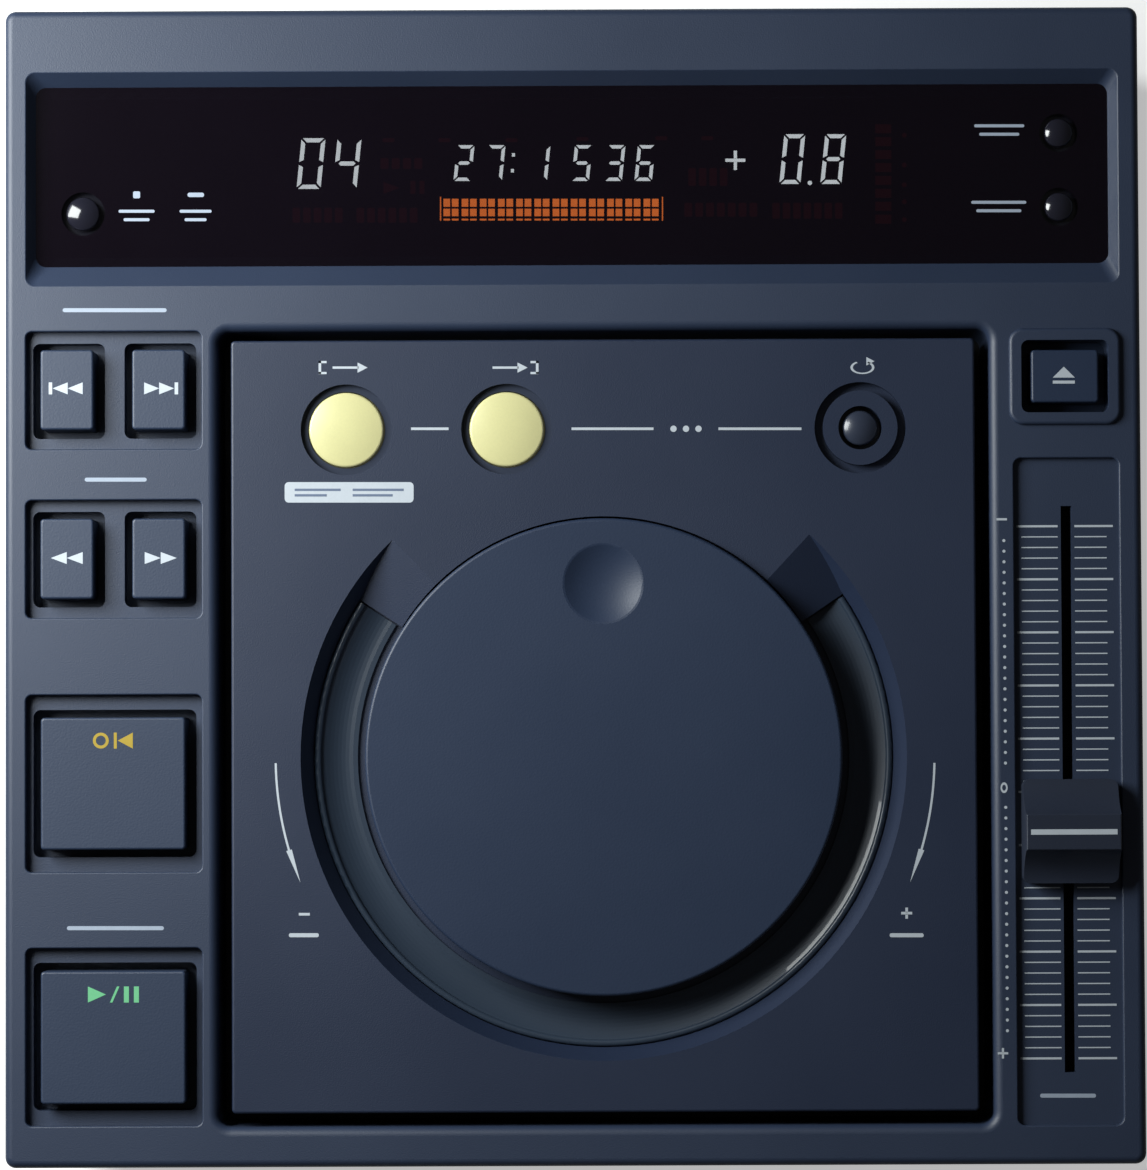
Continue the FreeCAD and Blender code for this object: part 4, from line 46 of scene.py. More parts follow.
# How the deck lies in the photo, in pixels: its middle, its size, and how its sides lean and widen
DECK_TOP_ROW = 5.0
DECK_ROWS = 1158.0
DECK_COLUMNS = 1140.0
MIDDLE_COLUMN_AT_TOP = 570.8
MIDDLE_COLUMN_SHIFT = 4.2
PX_PER_MM_AT_TOP = 5.2477
PX_PER_MM_GAIN = 0.04398
MIDDLE_ROW = 584.5
MIDDLE_COLUMN = 573.0
ROW_RISE = 4.7


def deck_point(px, py, z=DECK_Z):
    """Where a photo pixel meets the height z, in mm, with the deck as the measured plane."""
    down = (py - DECK_TOP_ROW) / DECK_ROWS
    across = (px - MIDDLE_COLUMN) / DECK_COLUMNS
    x = (px - MIDDLE_COLUMN_AT_TOP - MIDDLE_COLUMN_SHIFT * down) / (PX_PER_MM_AT_TOP + PX_PER_MM_GAIN * down)
    y = (MIDDLE_ROW - py - ROW_RISE * across) / PX_PER_MM
    on_deck = Vector((x, y, DECK_Z))
    ray = on_deck - eye
    point = eye + ray * ((z - eye.z) / ray.z)
    return point.x, point.y


# Materials
GRAIN_HEIGHT = 0.00008
TONE_NOISE_LOW = 0.6
TONE_NOISE_HIGH = 1.4
LOWEST_ROUGHNESS = 0.03


def links(material):
    tree = material.node_tree
    return tree, tree.nodes, tree.nodes["Principled BSDF"]


def new_material(name):
    material = bpy.data.materials.new(name)
    material.use_nodes = True
    return material


def moulded(name, color, rough=0.5, tone=0.06, grain=0.0, grain_scale=2600.0, rough_spread=0.05,
            metallic=0.0, coat=0.0, specular=0.5, cloud_scale=28.0):
    """A moulded or painted surface: soft tone drift, fine grain in the height, uneven gloss."""
    material = new_material(name)
    tree, nodes, shader = links(material)
    place = nodes.new("ShaderNodeTexCoord")
    drift = nodes.new("ShaderNodeTexNoise")
    drift.inputs["Scale"].default_value = cloud_scale
    drift.inputs["Detail"].default_value = 4.0
    tree.links.new(place.outputs["Object"], drift.inputs["Vector"])
    fine = nodes.new("ShaderNodeTexNoise")
    fine.inputs["Scale"].default_value = grain_scale
    fine.inputs["Detail"].default_value = 2.0
    tree.links.new(place.outputs["Object"], fine.inputs["Vector"])
    both = nodes.new("ShaderNodeMath")
    both.operation = "ADD"
    tree.links.new(drift.outputs["Fac"], both.inputs[0])
    tree.links.new(fine.outputs["Fac"], both.inputs[1])
    ramp = nodes.new("ShaderNodeMapRange")
    ramp.inputs["From Min"].default_value = TONE_NOISE_LOW
    ramp.inputs["From Max"].default_value = TONE_NOISE_HIGH
    ramp.inputs["To Min"].default_value = 0.0
    ramp.inputs["To Max"].default_value = 1.0
    tree.links.new(both.outputs["Value"], ramp.inputs["Value"])
    tint = nodes.new("ShaderNodeValToRGB")
    low = [value * (1 - tone) for value in color]
    high = [value * (1 + tone) for value in color]
    tint.color_ramp.elements[0].color = (*low, 1.0)
    tint.color_ramp.elements[1].color = (*high, 1.0)
    tree.links.new(ramp.outputs["Result"], tint.inputs["Fac"])
    tree.links.new(tint.outputs["Color"], shader.inputs["Base Color"])
    gloss = nodes.new("ShaderNodeMapRange")
    gloss.inputs["To Min"].default_value = max(LOWEST_ROUGHNESS, rough - rough_spread)
    gloss.inputs["To Max"].default_value = min(1.0, rough + rough_spread)
    tree.links.new(drift.outputs["Fac"], gloss.inputs["Value"])
    tree.links.new(gloss.outputs["Result"], shader.inputs["Roughness"])
    shader.inputs["Metallic"].default_value = metallic
    shader.inputs["Coat Weight"].default_value = coat
    shader.inputs["Specular IOR Level"].default_value = specular
    if grain:
        bump = nodes.new("ShaderNodeBump")
        bump.inputs["Strength"].default_value = grain
        bump.inputs["Distance"].default_value = GRAIN_HEIGHT
        tree.links.new(fine.outputs["Fac"], bump.inputs["Height"])
        tree.links.new(bump.outputs["Normal"], shader.inputs["Normal"])
    return material


def brushed(name, color, rough=0.35, stretch=(4.0, 400.0, 400.0)):
    """Metal with fine lines along one axis."""
    material = new_material(name)
    tree, nodes, shader = links(material)
    place = nodes.new("ShaderNodeTexCoord")
    squeeze = nodes.new("ShaderNodeMapping")
    squeeze.inputs["Scale"].default_value = stretch
    tree.links.new(place.outputs["Object"], squeeze.inputs["Vector"])
    lines = nodes.new("ShaderNodeTexNoise")
    lines.inputs["Scale"].default_value = 6.0
    lines.inputs["Detail"].default_value = 5.0
    tree.links.new(squeeze.outputs["Vector"], lines.inputs["Vector"])
    tint = nodes.new("ShaderNodeValToRGB")
    tint.color_ramp.elements[0].color = (*[value * 0.8 for value in color], 1.0)
    tint.color_ramp.elements[1].color = (*[min(1.0, value * 1.15) for value in color], 1.0)
    tree.links.new(lines.outputs["Fac"], tint.inputs["Fac"])
    tree.links.new(tint.outputs["Color"], shader.inputs["Base Color"])
    gloss = nodes.new("ShaderNodeMapRange")
    gloss.inputs["To Min"].default_value = rough - 0.08
    gloss.inputs["To Max"].default_value = rough + 0.08
    tree.links.new(lines.outputs["Fac"], gloss.inputs["Value"])
    tree.links.new(gloss.outputs["Result"], shader.inputs["Roughness"])
    shader.inputs["Metallic"].default_value = 1.0
    return material


def lamp(name, color, strength, base=(0.02, 0.02, 0.02)):
    """A lit segment: emission with a faint cell texture. Also used for the faint painted glow on unlit
    fields.
    """
    material = new_material(name)
    tree, nodes, shader = links(material)
    place = nodes.new("ShaderNodeTexCoord")
    cells = nodes.new("ShaderNodeTexNoise")
    cells.inputs["Scale"].default_value = 900.0
    tree.links.new(place.outputs["Object"], cells.inputs["Vector"])
    tint = nodes.new("ShaderNodeValToRGB")
    tint.color_ramp.elements[0].color = (*[value * 0.85 for value in color], 1.0)
    tint.color_ramp.elements[1].color = (*color, 1.0)
    tree.links.new(cells.outputs["Fac"], tint.inputs["Fac"])
    tree.links.new(tint.outputs["Color"], shader.inputs["Emission Color"])
    shader.inputs["Emission Strength"].default_value = strength
    shader.inputs["Base Color"].default_value = (*base, 1.0)
    shader.inputs["Roughness"].default_value = 0.6
    return material


case_mat = moulded("slate_case", (0.0190, 0.0320, 0.0680), rough=0.50, tone=0.09, grain=0.4,
                   grain_scale=4200.0, specular=0.7)
lid_mat = moulded("slate_lid", (0.0135, 0.0230, 0.0530), rough=0.47, tone=0.08, grain=0.35,
                  grain_scale=4200.0, specular=0.62)
jog_mat = moulded("slate_dial", (0.0185, 0.0315, 0.0670), rough=0.46, tone=0.06, grain=0.2)
key_mat = moulded("slate_key", (0.0195, 0.0335, 0.0700), rough=0.47, tone=0.05, grain=0.25, specular=0.66)
open_mat = moulded("dark_key", (0.0195, 0.0330, 0.0700), rough=0.45, tone=0.06, grain=0.15)
round_mat = moulded("round_key", (0.012, 0.012, 0.020), rough=0.16, tone=0.1, coat=0.5)
liner_mat = moulded("liner_gloss", (0.026, 0.040, 0.064), rough=0.42, tone=0.05, coat=0.3, specular=0.4,
                    rough_spread=0.02)
collar_mat = moulded("collar_dark", (0.030, 0.038, 0.062), rough=0.3, tone=0.06, coat=0.3)
glow_mat = moulded("milky_yellow", (0.66, 0.63, 0.32), rough=0.30, tone=0.04, coat=0.3, cloud_scale=120.0)
black_mat = moulded("black_moulding", (0.013, 0.013, 0.015), rough=0.5, tone=0.12, grain=0.3)
cap_mat = moulded("fader_cap_black", (0.022, 0.029, 0.050), rough=0.42, tone=0.08, grain=0.2)
coat_mat = moulded("powder_coat", (0.014, 0.014, 0.016), rough=0.55, tone=0.15, grain=0.8,
                   grain_scale=1500.0)
rubber_mat = moulded("rubber_black", (0.012, 0.012, 0.012), rough=0.85, tone=0.2, grain=0.6)
board_mat = moulded("board_green", (0.010, 0.050, 0.022), rough=0.3, tone=0.3, cloud_scale=300.0, coat=0.4)
nylon_mat = moulded("nylon_white", (0.60, 0.58, 0.52), rough=0.4, tone=0.04)
film_mat = moulded("encoder_film", (0.02, 0.02, 0.022), rough=0.2, tone=0.1, coat=0.3)
tube_mat = moulded("tube_dark", (0.004, 0.003, 0.005), rough=0.2, tone=0.2)
steel_mat = brushed("plain_steel", (0.45, 0.46, 0.48))
zinc_mat = brushed("dark_zinc", (0.16, 0.16, 0.18), rough=0.4)
brass_mat = brushed("plain_brass", (0.66, 0.47, 0.18), rough=0.25)
white_ink = moulded("white_ink", (0.52, 0.57, 0.63), rough=0.5, tone=0.04, cloud_scale=400.0)
grey_ink = moulded("grey_ink", (0.36, 0.42, 0.52), rough=0.5, tone=0.04, cloud_scale=400.0)
slate_ink = moulded("slate_ink", (0.13, 0.17, 0.26), rough=0.5, tone=0.04, cloud_scale=400.0)
yellow_ink = moulded("yellow_ink", (0.42, 0.30, 0.035), rough=0.45, tone=0.05, cloud_scale=400.0)
green_ink = moulded("green_ink", (0.16, 0.52, 0.26), rough=0.45, tone=0.05, cloud_scale=400.0)
glow_inputs = glow_mat.node_tree.nodes["Principled BSDF"].inputs
glow_inputs["Emission Color"].default_value = (0.8, 0.74, 0.36, 1.0)
glow_inputs["Emission Strength"].default_value = 0.03

window_mat = moulded("tinted_window", (0.0042, 0.0026, 0.0055), rough=0.10, tone=0.15, rough_spread=0.02)
window_mat.node_tree.nodes["Principled BSDF"].inputs["Alpha"].default_value = 0.82
orange_lamp = lamp("segment_orange", (1.0, 0.22, 0.04), 14.0)
white_lamp = lamp("segment_white", (0.88, 0.95, 1.0), 16.0)
# Painted glow: the unlit fields emit a faint red light, though no segment there is lit
unlit_field_painted_glow = lamp("unlit_segment_painted_glow", (0.30, 0.02, 0.02), 0.45, base=(0.05, 0.01, 0.012))

NODE_MATERIALS = {
    case_mat: ["top_cover"],
    lid_mat: ["lid_panel"],
    collar_mat: ["button_collars", "reloop_button"],
    jog_mat: ["jog_dial"],
    liner_mat: ["jog_liner"],
    key_mat: ["track_back_button", "track_next_button", "search_back_button", "search_next_button",
              "cue_button", "play_button"],
    round_mat: ["time_button", "tempo_range_button", "key_lock_button"],
    open_mat: ["open_button"],
    glow_mat: ["loop_in_button", "loop_out_button"],
    window_mat: ["display_window"],
    cap_mat: ["fader_cap"],
    black_mat: ["disc_well", "lid_inner_cover", "latch_slider", "turntable_hub", "disc_clamper",
                "pickup_sled", "fader_body", "fader_lever", "power_switch_housing", "power_inlet",
                "power_rocker", "jog_shaft", "key_switches", "lid_switches"],
    coat_mat: ["bottom_pan", "rear_panel"],
    steel_mat: ["mech_chassis", "hinge_brackets", "hinge_pins", "guide_rods", "spindle_shaft",
                "clamper_plate", "spindle_motor", "sled_motor", "power_transformer"],
    zinc_mat: ["case_screws", "lid_screws"],
    brass_mat: ["jog_bearing", "rear_jacks"],
    rubber_mat: ["rubber_feet", "chassis_dampers"],
    board_mat: ["main_board", "display_board", "key_board", "lid_board", "jog_sensor"],
    nylon_mat: ["sled_pinion"],
    film_mat: ["encoder_disc"],
    tube_mat: ["display_tube", "pickup_lens"],
}
for material, nodes_list in NODE_MATERIALS.items():
    for node in nodes_list:
        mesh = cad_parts[node].data
        mesh.materials.clear()
        mesh.materials.append(material)


# Printed marks and lit segments: thin raised shapes on the surface that carries them


def prisms(name, shapes, z, thick, material, body):
    """One mesh of thin prisms: each shape is a list of (x, y) corners in mm."""
    mesh = bpy.data.meshes.new(name)
    builder = bmesh.new()
    for corners in shapes:
        low = [builder.verts.new((x * MM, y * MM, z * MM)) for x, y in corners]
        high = [builder.verts.new((x * MM, y * MM, (z + thick) * MM)) for x, y in corners]
        builder.faces.new(high)
        builder.faces.new(low[::-1])
        for index in range(len(corners)):
            after = (index + 1) % len(corners)
            builder.faces.new((low[index], low[after], high[after], high[index]))
    bmesh.ops.recalc_face_normals(builder, faces=builder.faces)
    builder.to_mesh(mesh)
    builder.free()
    mesh.materials.append(material)
    piece = bpy.data.objects.new(name, mesh)
    bpy.context.scene.collection.objects.link(piece)
    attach(piece, body)
    return piece


def quad(x0, y0, x1, y1, z=DECK_Z):
    """A rectangle given by photo pixels."""
    return [deck_point(x0, y1, z), deck_point(x1, y1, z), deck_point(x1, y0, z), deck_point(x0, y0, z)]


def poly(points, z=DECK_Z):
    return [deck_point(px, py, z) for px, py in points]


def pill(x0, y0, x1, y1, radius, z=DECK_Z, steps=5):
    """A rectangle with round corners, in photo pixels."""
    corners = [(x1 - radius, y0 + radius, -90), (x1 - radius, y1 - radius, 0),
               (x0 + radius, y1 - radius, 90), (x0 + radius, y0 + radius, 180)]
    points = []
    for cx, cy, start in corners:
        for step in range(steps + 1):
            angle = math.radians(start + 90 * step / steps)
            points.append((cx + radius * math.cos(angle), cy + radius * math.sin(angle)))
    return poly(points, z)


def hoop(cx, cy, outer, inner, z=DECK_Z, steps=20, tall=1.0, first=0.0, last=360.0):
    """A ring, or part of one, as a row of quads, in photo pixels."""
    shapes = []
    for step in range(steps):
        a0 = math.radians(first + (last - first) * step / steps)
        a1 = math.radians(first + (last - first) * (step + 1) / steps)
        points = [(cx + r * math.cos(a), cy + r * tall * math.sin(a))
                  for r, a in ((outer, a0), (outer, a1), (inner, a1), (inner, a0))]
        shapes.append(poly(points, z))
    return shapes


def circle(x, y, radius, sides):
    """The corners of a round shape."""
    angles = [2 * math.pi * k / sides for k in range(sides)]
    return [(x + radius * math.cos(angle), y + radius * math.sin(angle)) for angle in angles]


def disc(cx, cy, radius, z=DECK_Z):
    return poly(circle(cx, cy, radius, 16), z)


def arrow_left(x0, y0, x1, y1, z=DECK_Z):
    return poly([(x0, (y0 + y1) / 2), (x1, y0), (x1, y1)], z)


def arrow_right(x0, y0, x1, y1, z=DECK_Z):
    return poly([(x1, (y0 + y1) / 2), (x0, y1), (x0, y0)], z)


# Marks on the keys. A rectangle is left, top, right, bottom, in photo pixels
KEY_TOP = 87.4
OPEN_KEY_TOP = 86.8
INK = 0.03
TRACK_BACK_BAR = (48, 381.5, 51.5, 393.5)
TRACK_BACK_HEADS = ((52, 381.5, 67, 393.5), (67, 381.5, 82, 393.5))
TRACK_NEXT_HEADS = ((143.5, 381.5, 158.5, 393.5), (158.5, 381.5, 173.5, 393.5))
TRACK_NEXT_BAR = (174, 381.5, 177.5, 393.5)
SEARCH_BACK_HEADS = ((50, 551.5, 66, 563.5), (66, 551.5, 82, 563.5))
SEARCH_NEXT_HEADS = ((144, 551.5, 160, 563.5), (160, 551.5, 176, 563.5))
CUE_RING_MIDDLE = (100, 740)
CUE_RING_RADII = (8, 5)
CUE_BAR = (113, 732, 116, 748)
CUE_HEAD = (117, 732, 132, 748)
PLAY_HEAD = (87, 985, 105, 1001)
PLAY_SLASH = ((109, 1001), (111.5, 1001), (118.5, 985), (116, 985))
PAUSE_BARS = ((123, 985, 128, 1001), (133, 985, 138, 1001))
EJECT_HEAD = ((1063, 366), (1074, 377), (1052, 377))
EJECT_BAR = (1052, 380, 1074, 383)


def on_key(draw, *places):
    """The same shape at several places on the keys' tops."""
    return [draw(*place, KEY_TOP) for place in places]


def key_mark(name, body, shapes, ink):
    prisms(name, shapes, KEY_TOP, INK, ink, body)


key_mark("mark_track_back", "track_back_key",
         on_key(quad, TRACK_BACK_BAR) + on_key(arrow_left, *TRACK_BACK_HEADS), white_ink)
key_mark("mark_track_next", "track_next_key",
         on_key(arrow_right, *TRACK_NEXT_HEADS) + on_key(quad, TRACK_NEXT_BAR), white_ink)
key_mark("mark_search_back", "search_back_key", on_key(arrow_left, *SEARCH_BACK_HEADS), white_ink)
key_mark("mark_search_next", "search_next_key", on_key(arrow_right, *SEARCH_NEXT_HEADS), white_ink)
key_mark("mark_cue", "cue_key", hoop(*CUE_RING_MIDDLE, *CUE_RING_RADII, KEY_TOP)
         + on_key(quad, CUE_BAR) + on_key(arrow_left, CUE_HEAD), yellow_ink)
key_mark("mark_play", "play_key", on_key(arrow_right, PLAY_HEAD) + [poly(PLAY_SLASH, KEY_TOP)]
         + on_key(quad, *PAUSE_BARS), green_ink)

# Marks on the lid
LINE_HALF = 1.3
LOOP_LINE_Y = 428.0
LOOP_LINES = ((410.5, 448), (571, 653), (718, 801))
LOOP_DOTS = (673, 685.5, 698)
LOOP_DOT_RADIUS = 3.2
LOOP_SIGNS = ((318, 378, 1), (478, 538, -1))
BRACKET_ROWS = (360, 373)
BRACKET_LINE = 2.6
ARM_ROWS = (360, 371)
ARM_LENGTH = 8
ARM_LINE = 2.2
STEM_INSETS = (14, 20)
STEM_ROWS = (365.5, 367.8)
HEAD_INSETS = (21, 11)
HEAD_ROWS = (361.5, 371.8)
REPEAT_MIDDLE = (862, 366.5)
REPEAT_RADII = (12, 9.6)
REPEAT_HEAD = (866, 356, 874, 364.5)
LABEL = (284, 481.5, 413, 502)
LABEL_CORNER = 4.0
LABEL_LINES = ((294, 488, 340, 490.4), (294, 493.5, 326, 495.9),
               (352, 488, 403, 490.4), (352, 493.5, 392, 495.9))
LID_MINUS = (298, 911.8, 309, 914.4)
LID_PLUS = ((900.5, 910.7, 911.5, 913.3), (904.7, 906.5, 907.3, 911.2), (904.7, 912.8, 907.3, 917.5))
TURN_BARS = ((288, 932, 318, 936), (889, 932, 923, 936))
TURN_BAR_CORNER = 1.8
JOG_X = 5.6
JOG_Y = -32.6
LEFT_ARROW = (62.2, 180.9, 202.3)
RIGHT_ARROW = (62.7, -1.3, -22.5)


def quads(places, z=DECK_Z):
    return [quad(*place, z) for place in places]


def loop_sign(x0, x1, turn):
    """A bracket and an arrow; turn is 1 where the bracket is on the left and -1 on the right."""
    side = x0 if turn == 1 else x1
    stem = sorted((side, side + BRACKET_LINE * turn))
    arm = sorted((side, side + ARM_LENGTH * turn))
    shapes = [quad(stem[0], BRACKET_ROWS[0], stem[1], BRACKET_ROWS[1])]
    for level in ARM_ROWS:
        shapes.append(quad(arm[0], level, arm[1], level + ARM_LINE))
    shapes.append(quad(x0 + STEM_INSETS[0], STEM_ROWS[0], x1 - STEM_INSETS[1], STEM_ROWS[1]))
    shapes.append(arrow_right(x1 - HEAD_INSETS[0], HEAD_ROWS[0], x1 - HEAD_INSETS[1], HEAD_ROWS[1]))
    return shapes


def round_the_dial(radius, degrees):
    angle = math.radians(degrees)
    return (JOG_X + radius * math.cos(angle), JOG_Y + radius * math.sin(angle))


def turn_arrow(radius, first, last, steps=18, half_line=0.2, head_sweep=6.0, half_head=0.55):
    """A thin arc round the dial that ends in a slim head; sizes in mm, angles in degrees."""
    turn = 1 if last > first else -1
    head = last - turn * head_sweep
    inner = radius - half_line
    outer = radius + half_line
    shapes = []
    for step in range(steps):
        a0 = first + (head - first) * step / steps
        a1 = first + (head - first) * (step + 1) / steps
        shapes.append([round_the_dial(inner, a0), round_the_dial(outer, a0),
                       round_the_dial(outer, a1), round_the_dial(inner, a1)])
    shapes.append([round_the_dial(radius, last), round_the_dial(radius - half_head, head),
                   round_the_dial(radius + half_head, head)])
    return shapes


lid_marks = [quad(x0, LOOP_LINE_Y - LINE_HALF, x1, LOOP_LINE_Y + LINE_HALF) for x0, x1 in LOOP_LINES]
for sign in LOOP_SIGNS:
    lid_marks += loop_sign(*sign)
lid_marks += hoop(*REPEAT_MIDDLE, *REPEAT_RADII, steps=22, tall=0.55, first=-60, last=240)
lid_marks.append(arrow_right(*REPEAT_HEAD))
lid_marks += [disc(x, LOOP_LINE_Y, LOOP_DOT_RADIUS) for x in LOOP_DOTS]
lid_marks.append(pill(*LABEL, LABEL_CORNER))
lid_marks += turn_arrow(*LEFT_ARROW)
lid_marks += turn_arrow(*RIGHT_ARROW)
lid_marks.append(quad(*LID_MINUS))
lid_marks += quads(LID_PLUS)
lid_marks += [pill(*place, TURN_BAR_CORNER) for place in TURN_BARS]
prisms("lid_marks", lid_marks, DECK_Z, INK, white_ink, "lid")
prisms("lid_label_lines", quads(LABEL_LINES), DECK_Z + INK, INK, slate_ink, "lid")

# The tempo scale on the fader's panel, in mm: the columns of a tick to the left and right of the slot
PANEL_Z = 84.8
SCALE_MIDDLE = -39.6
TICK_PITCH = 2.018
TICKS_EACH_WAY = 25
LONG_EVERY = 5
LONG_TICK = ((84.3, 92.1), (95.3, 102.6))
SHORT_TICK = ((85.2, 92.1), (95.3, 101.4))
LONG_HALF = 0.2
SHORT_HALF = 0.11
fader_marks = []
for tick in range(-TICKS_EACH_WAY, TICKS_EACH_WAY + 1):
    y = SCALE_MIDDLE + TICK_PITCH * tick
    is_long = tick % LONG_EVERY == 0
    half = LONG_HALF if is_long else SHORT_HALF
    for x0, x1 in (LONG_TICK if is_long else SHORT_TICK):
        fader_marks.append([(x0, y - half), (x1, y - half), (x1, y + half), (x0, y + half)])
prisms("tempo_scale", fader_marks, PANEL_Z, INK, white_ink, "case")

# The dots beside the scale, in mm, with its plus, zero and minus, in photo pixels
DOT_X = 81.75
DOT_RADIUS = 0.3
DOT_PITCH = 2.01
DOT_SIDES = 10
DOT_RUNS = ((8.1, -34.4), (-42.5, -85.1))
ZERO_MIDDLE = (1003.5, 787)
ZERO_RADII = (3.6, 2.0)
SCALE_PLUS = ((997, 1050.3, 1007.5, 1052.5), (1001.1, 1046.2, 1003.3, 1050.5),
              (1001.1, 1052.3, 1003.3, 1056.6))
SCALE_MINUS = (996, 517.6, 1006.5, 519.8)


side_marks = []
for first, last in DOT_RUNS:
    count = int(round((first - last) / DOT_PITCH)) + 1
    for index in range(count):
        side_marks.append(circle(DOT_X, first - DOT_PITCH * index, DOT_RADIUS, DOT_SIDES))
side_marks += hoop(*ZERO_MIDDLE, *ZERO_RADII, steps=16, tall=1.5)
side_marks += quads(SCALE_PLUS)
side_marks.append(quad(*SCALE_MINUS))
prisms("tempo_dots", side_marks, DECK_Z, INK, white_ink, "case")

# Bars where the deck and the panel have words, the open key's sign and the fader's line
BAR_CORNER = 2.0
DECK_BARS = ((62, 307, 166, 311), (84, 477, 146, 481), (66, 925, 163, 929))
PANEL_BAR = (1040, 1092, 1096, 1096)
CAP_TOP = 95.0
CAP_LINE = ((85.6, -47.5), (101.8, -47.5), (101.8, -46.5), (85.6, -46.5))
prisms("deck_bars", [pill(*place, BAR_CORNER) for place in DECK_BARS], DECK_Z, INK, grey_ink,
       "case")
prisms("panel_bar", [pill(*PANEL_BAR, BAR_CORNER)], PANEL_Z, INK, grey_ink, "case")
prisms("open_mark", [poly(EJECT_HEAD), quad(*EJECT_BAR)], OPEN_KEY_TOP, INK, white_ink,
       "open_key")
prisms("fader_line", [CAP_LINE], CAP_TOP, INK, white_ink, "fader")

# Marks printed on the window, in photo pixels
PANE_Z = 83.0
PANE_INK = 0.02
PANE_DOT = (132.5, 189.5, 139.5, 196.5, 1.5)
PANE_DASH = (187, 190.8, 203.5, 195.2, 2.0)
PANE_PAIRS = ((118, 154, 208), (179, 211, 208), (974, 1024, 122), (971, 1026, 199))
PAIR_INSET = 5
PAIR_STEP = 8.5
PAIR_LINE = 3
PAIR_CORNER = 1.4
window_marks = [pill(*PANE_DOT, PANE_Z), pill(*PANE_DASH, PANE_Z)]
for x0, x1, y0 in PANE_PAIRS:
    for row in range(2):
        inset = PAIR_INSET * row
        top = y0 + PAIR_STEP * row
        window_marks.append(pill(x0 + inset, top, x1 - inset, top + PAIR_LINE, PAIR_CORNER, PANE_Z))
prisms("window_marks", window_marks, PANE_Z, PANE_INK, grey_ink, "case")

# The lit display, on top of the tube
TUBE_Z = 77.42
LAMP_HEIGHT = 0.05
SEGMENTS = {"0": "abcdef", "1": "bc", "2": "abged", "3": "abgcd", "4": "fgbc", "5": "afgcd",
            "6": "afgedc", "7": "abc", "8": "abcdefg", "9": "abcdfg"}


def digit(value, x, y, width, height, line, lean=0.10, z=TUBE_Z):
    """Seven-segment strokes of one digit, in photo pixels, leaning to the right."""
    half = height / 2
    gap = line * 0.35
    left = gap + line
    right = width - gap - line
    inside = width - line

    def spot(u, v):
        return (x + u + (height - v) * lean, y + v)

    strokes = {
        "a": [(gap, 0), (width - gap, 0), (right, line), (left, line)],
        "d": [(left, height - line), (right, height - line), (width - gap, height), (gap, height)],
        "g": [(gap + line / 2, half), (left, half - line / 2), (right, half - line / 2),
              (right + line / 2, half), (right, half + line / 2), (left, half + line / 2)],
        "f": [(0, gap), (line, left), (line, half - line / 2 - gap), (0, half - gap)],
        "e": [(0, half + gap), (line, half + line / 2 + gap), (line, height - line - gap), (0, height - gap)],
        "b": [(width, gap), (width, half - gap), (inside, half - line / 2 - gap), (inside, left)],
        "c": [(width, half + gap), (width, height - gap), (inside, height - line - gap),
              (inside, half + line / 2 + gap)],
    }
    return [poly([spot(u, v) for u, v in strokes[part]], z) for part in SEGMENTS[value]]


# Places and sizes of the numbers, in photo pixels
TRACK_DIGITS = (("0", 296), ("4", 332))
TRACK_SIZE = {"y": 136, "width": 24, "height": 51, "line": 4.2}
TIME_DIGITS = (("2", 453), ("7", 484), ("1", 529), ("5", 571), ("3", 604), ("6", 634))
TIME_SIZE = {"y": 143, "width": 17.5, "height": 36, "line": 3.4}
TIME_COLON = ((511.5, 151, 514.5, 154.5), (510.5, 167, 513.5, 170.5))
TEMPO_PLUS = ((725, 156.6, 745, 159.8), (733.4, 148.5, 736.6, 156.4), (733.4, 160, 736.6, 168))
TEMPO_DIGITS = (("0", 779), ("8", 820))
TEMPO_SIZE = {"y": 132, "width": 21, "height": 50, "line": 4.0}
TEMPO_POINT = (809.5, 181, 2.2)
lit = []
for value, x in TRACK_DIGITS:
    lit += digit(value, x, **TRACK_SIZE)
for value, x in TIME_DIGITS:
    lit += digit(value, x, **TIME_SIZE)
lit += quads(TIME_COLON, TUBE_Z)
lit += quads(TEMPO_PLUS, TUBE_Z)
for value, x in TEMPO_DIGITS:
    lit += digit(value, x, **TEMPO_SIZE)
lit.append(disc(*TEMPO_POINT, TUBE_Z))
prisms("display_numbers", lit, TUBE_Z, LAMP_HEIGHT, white_lamp, "case")

# The lit bar: pairs of cells in two rows over a thin line, between two end strokes
BAR_LEFT = 443
BAR_PAIRS = 12
PAIR_PITCH = 18.2
CELL_PITCH = 8.4
CELL_WIDTH = 6.6
CELL_ROWS = ((197, 205), (207, 214.5), (217, 218.8))
BAR_ENDS = ((439.5, 195, 440.7, 219), (661.5, 195, 662.7, 219))
bar = []
for pair in range(BAR_PAIRS):
    for column in range(2):
        x = BAR_LEFT + pair * PAIR_PITCH + column * CELL_PITCH
        for y0, y1 in CELL_ROWS:
            bar.append(quad(x, y0, x + CELL_WIDTH, y1, TUBE_Z))
bar += quads(BAR_ENDS, TUBE_Z)
prisms("display_bar", bar, TUBE_Z, LAMP_HEIGHT, orange_lamp, "case")
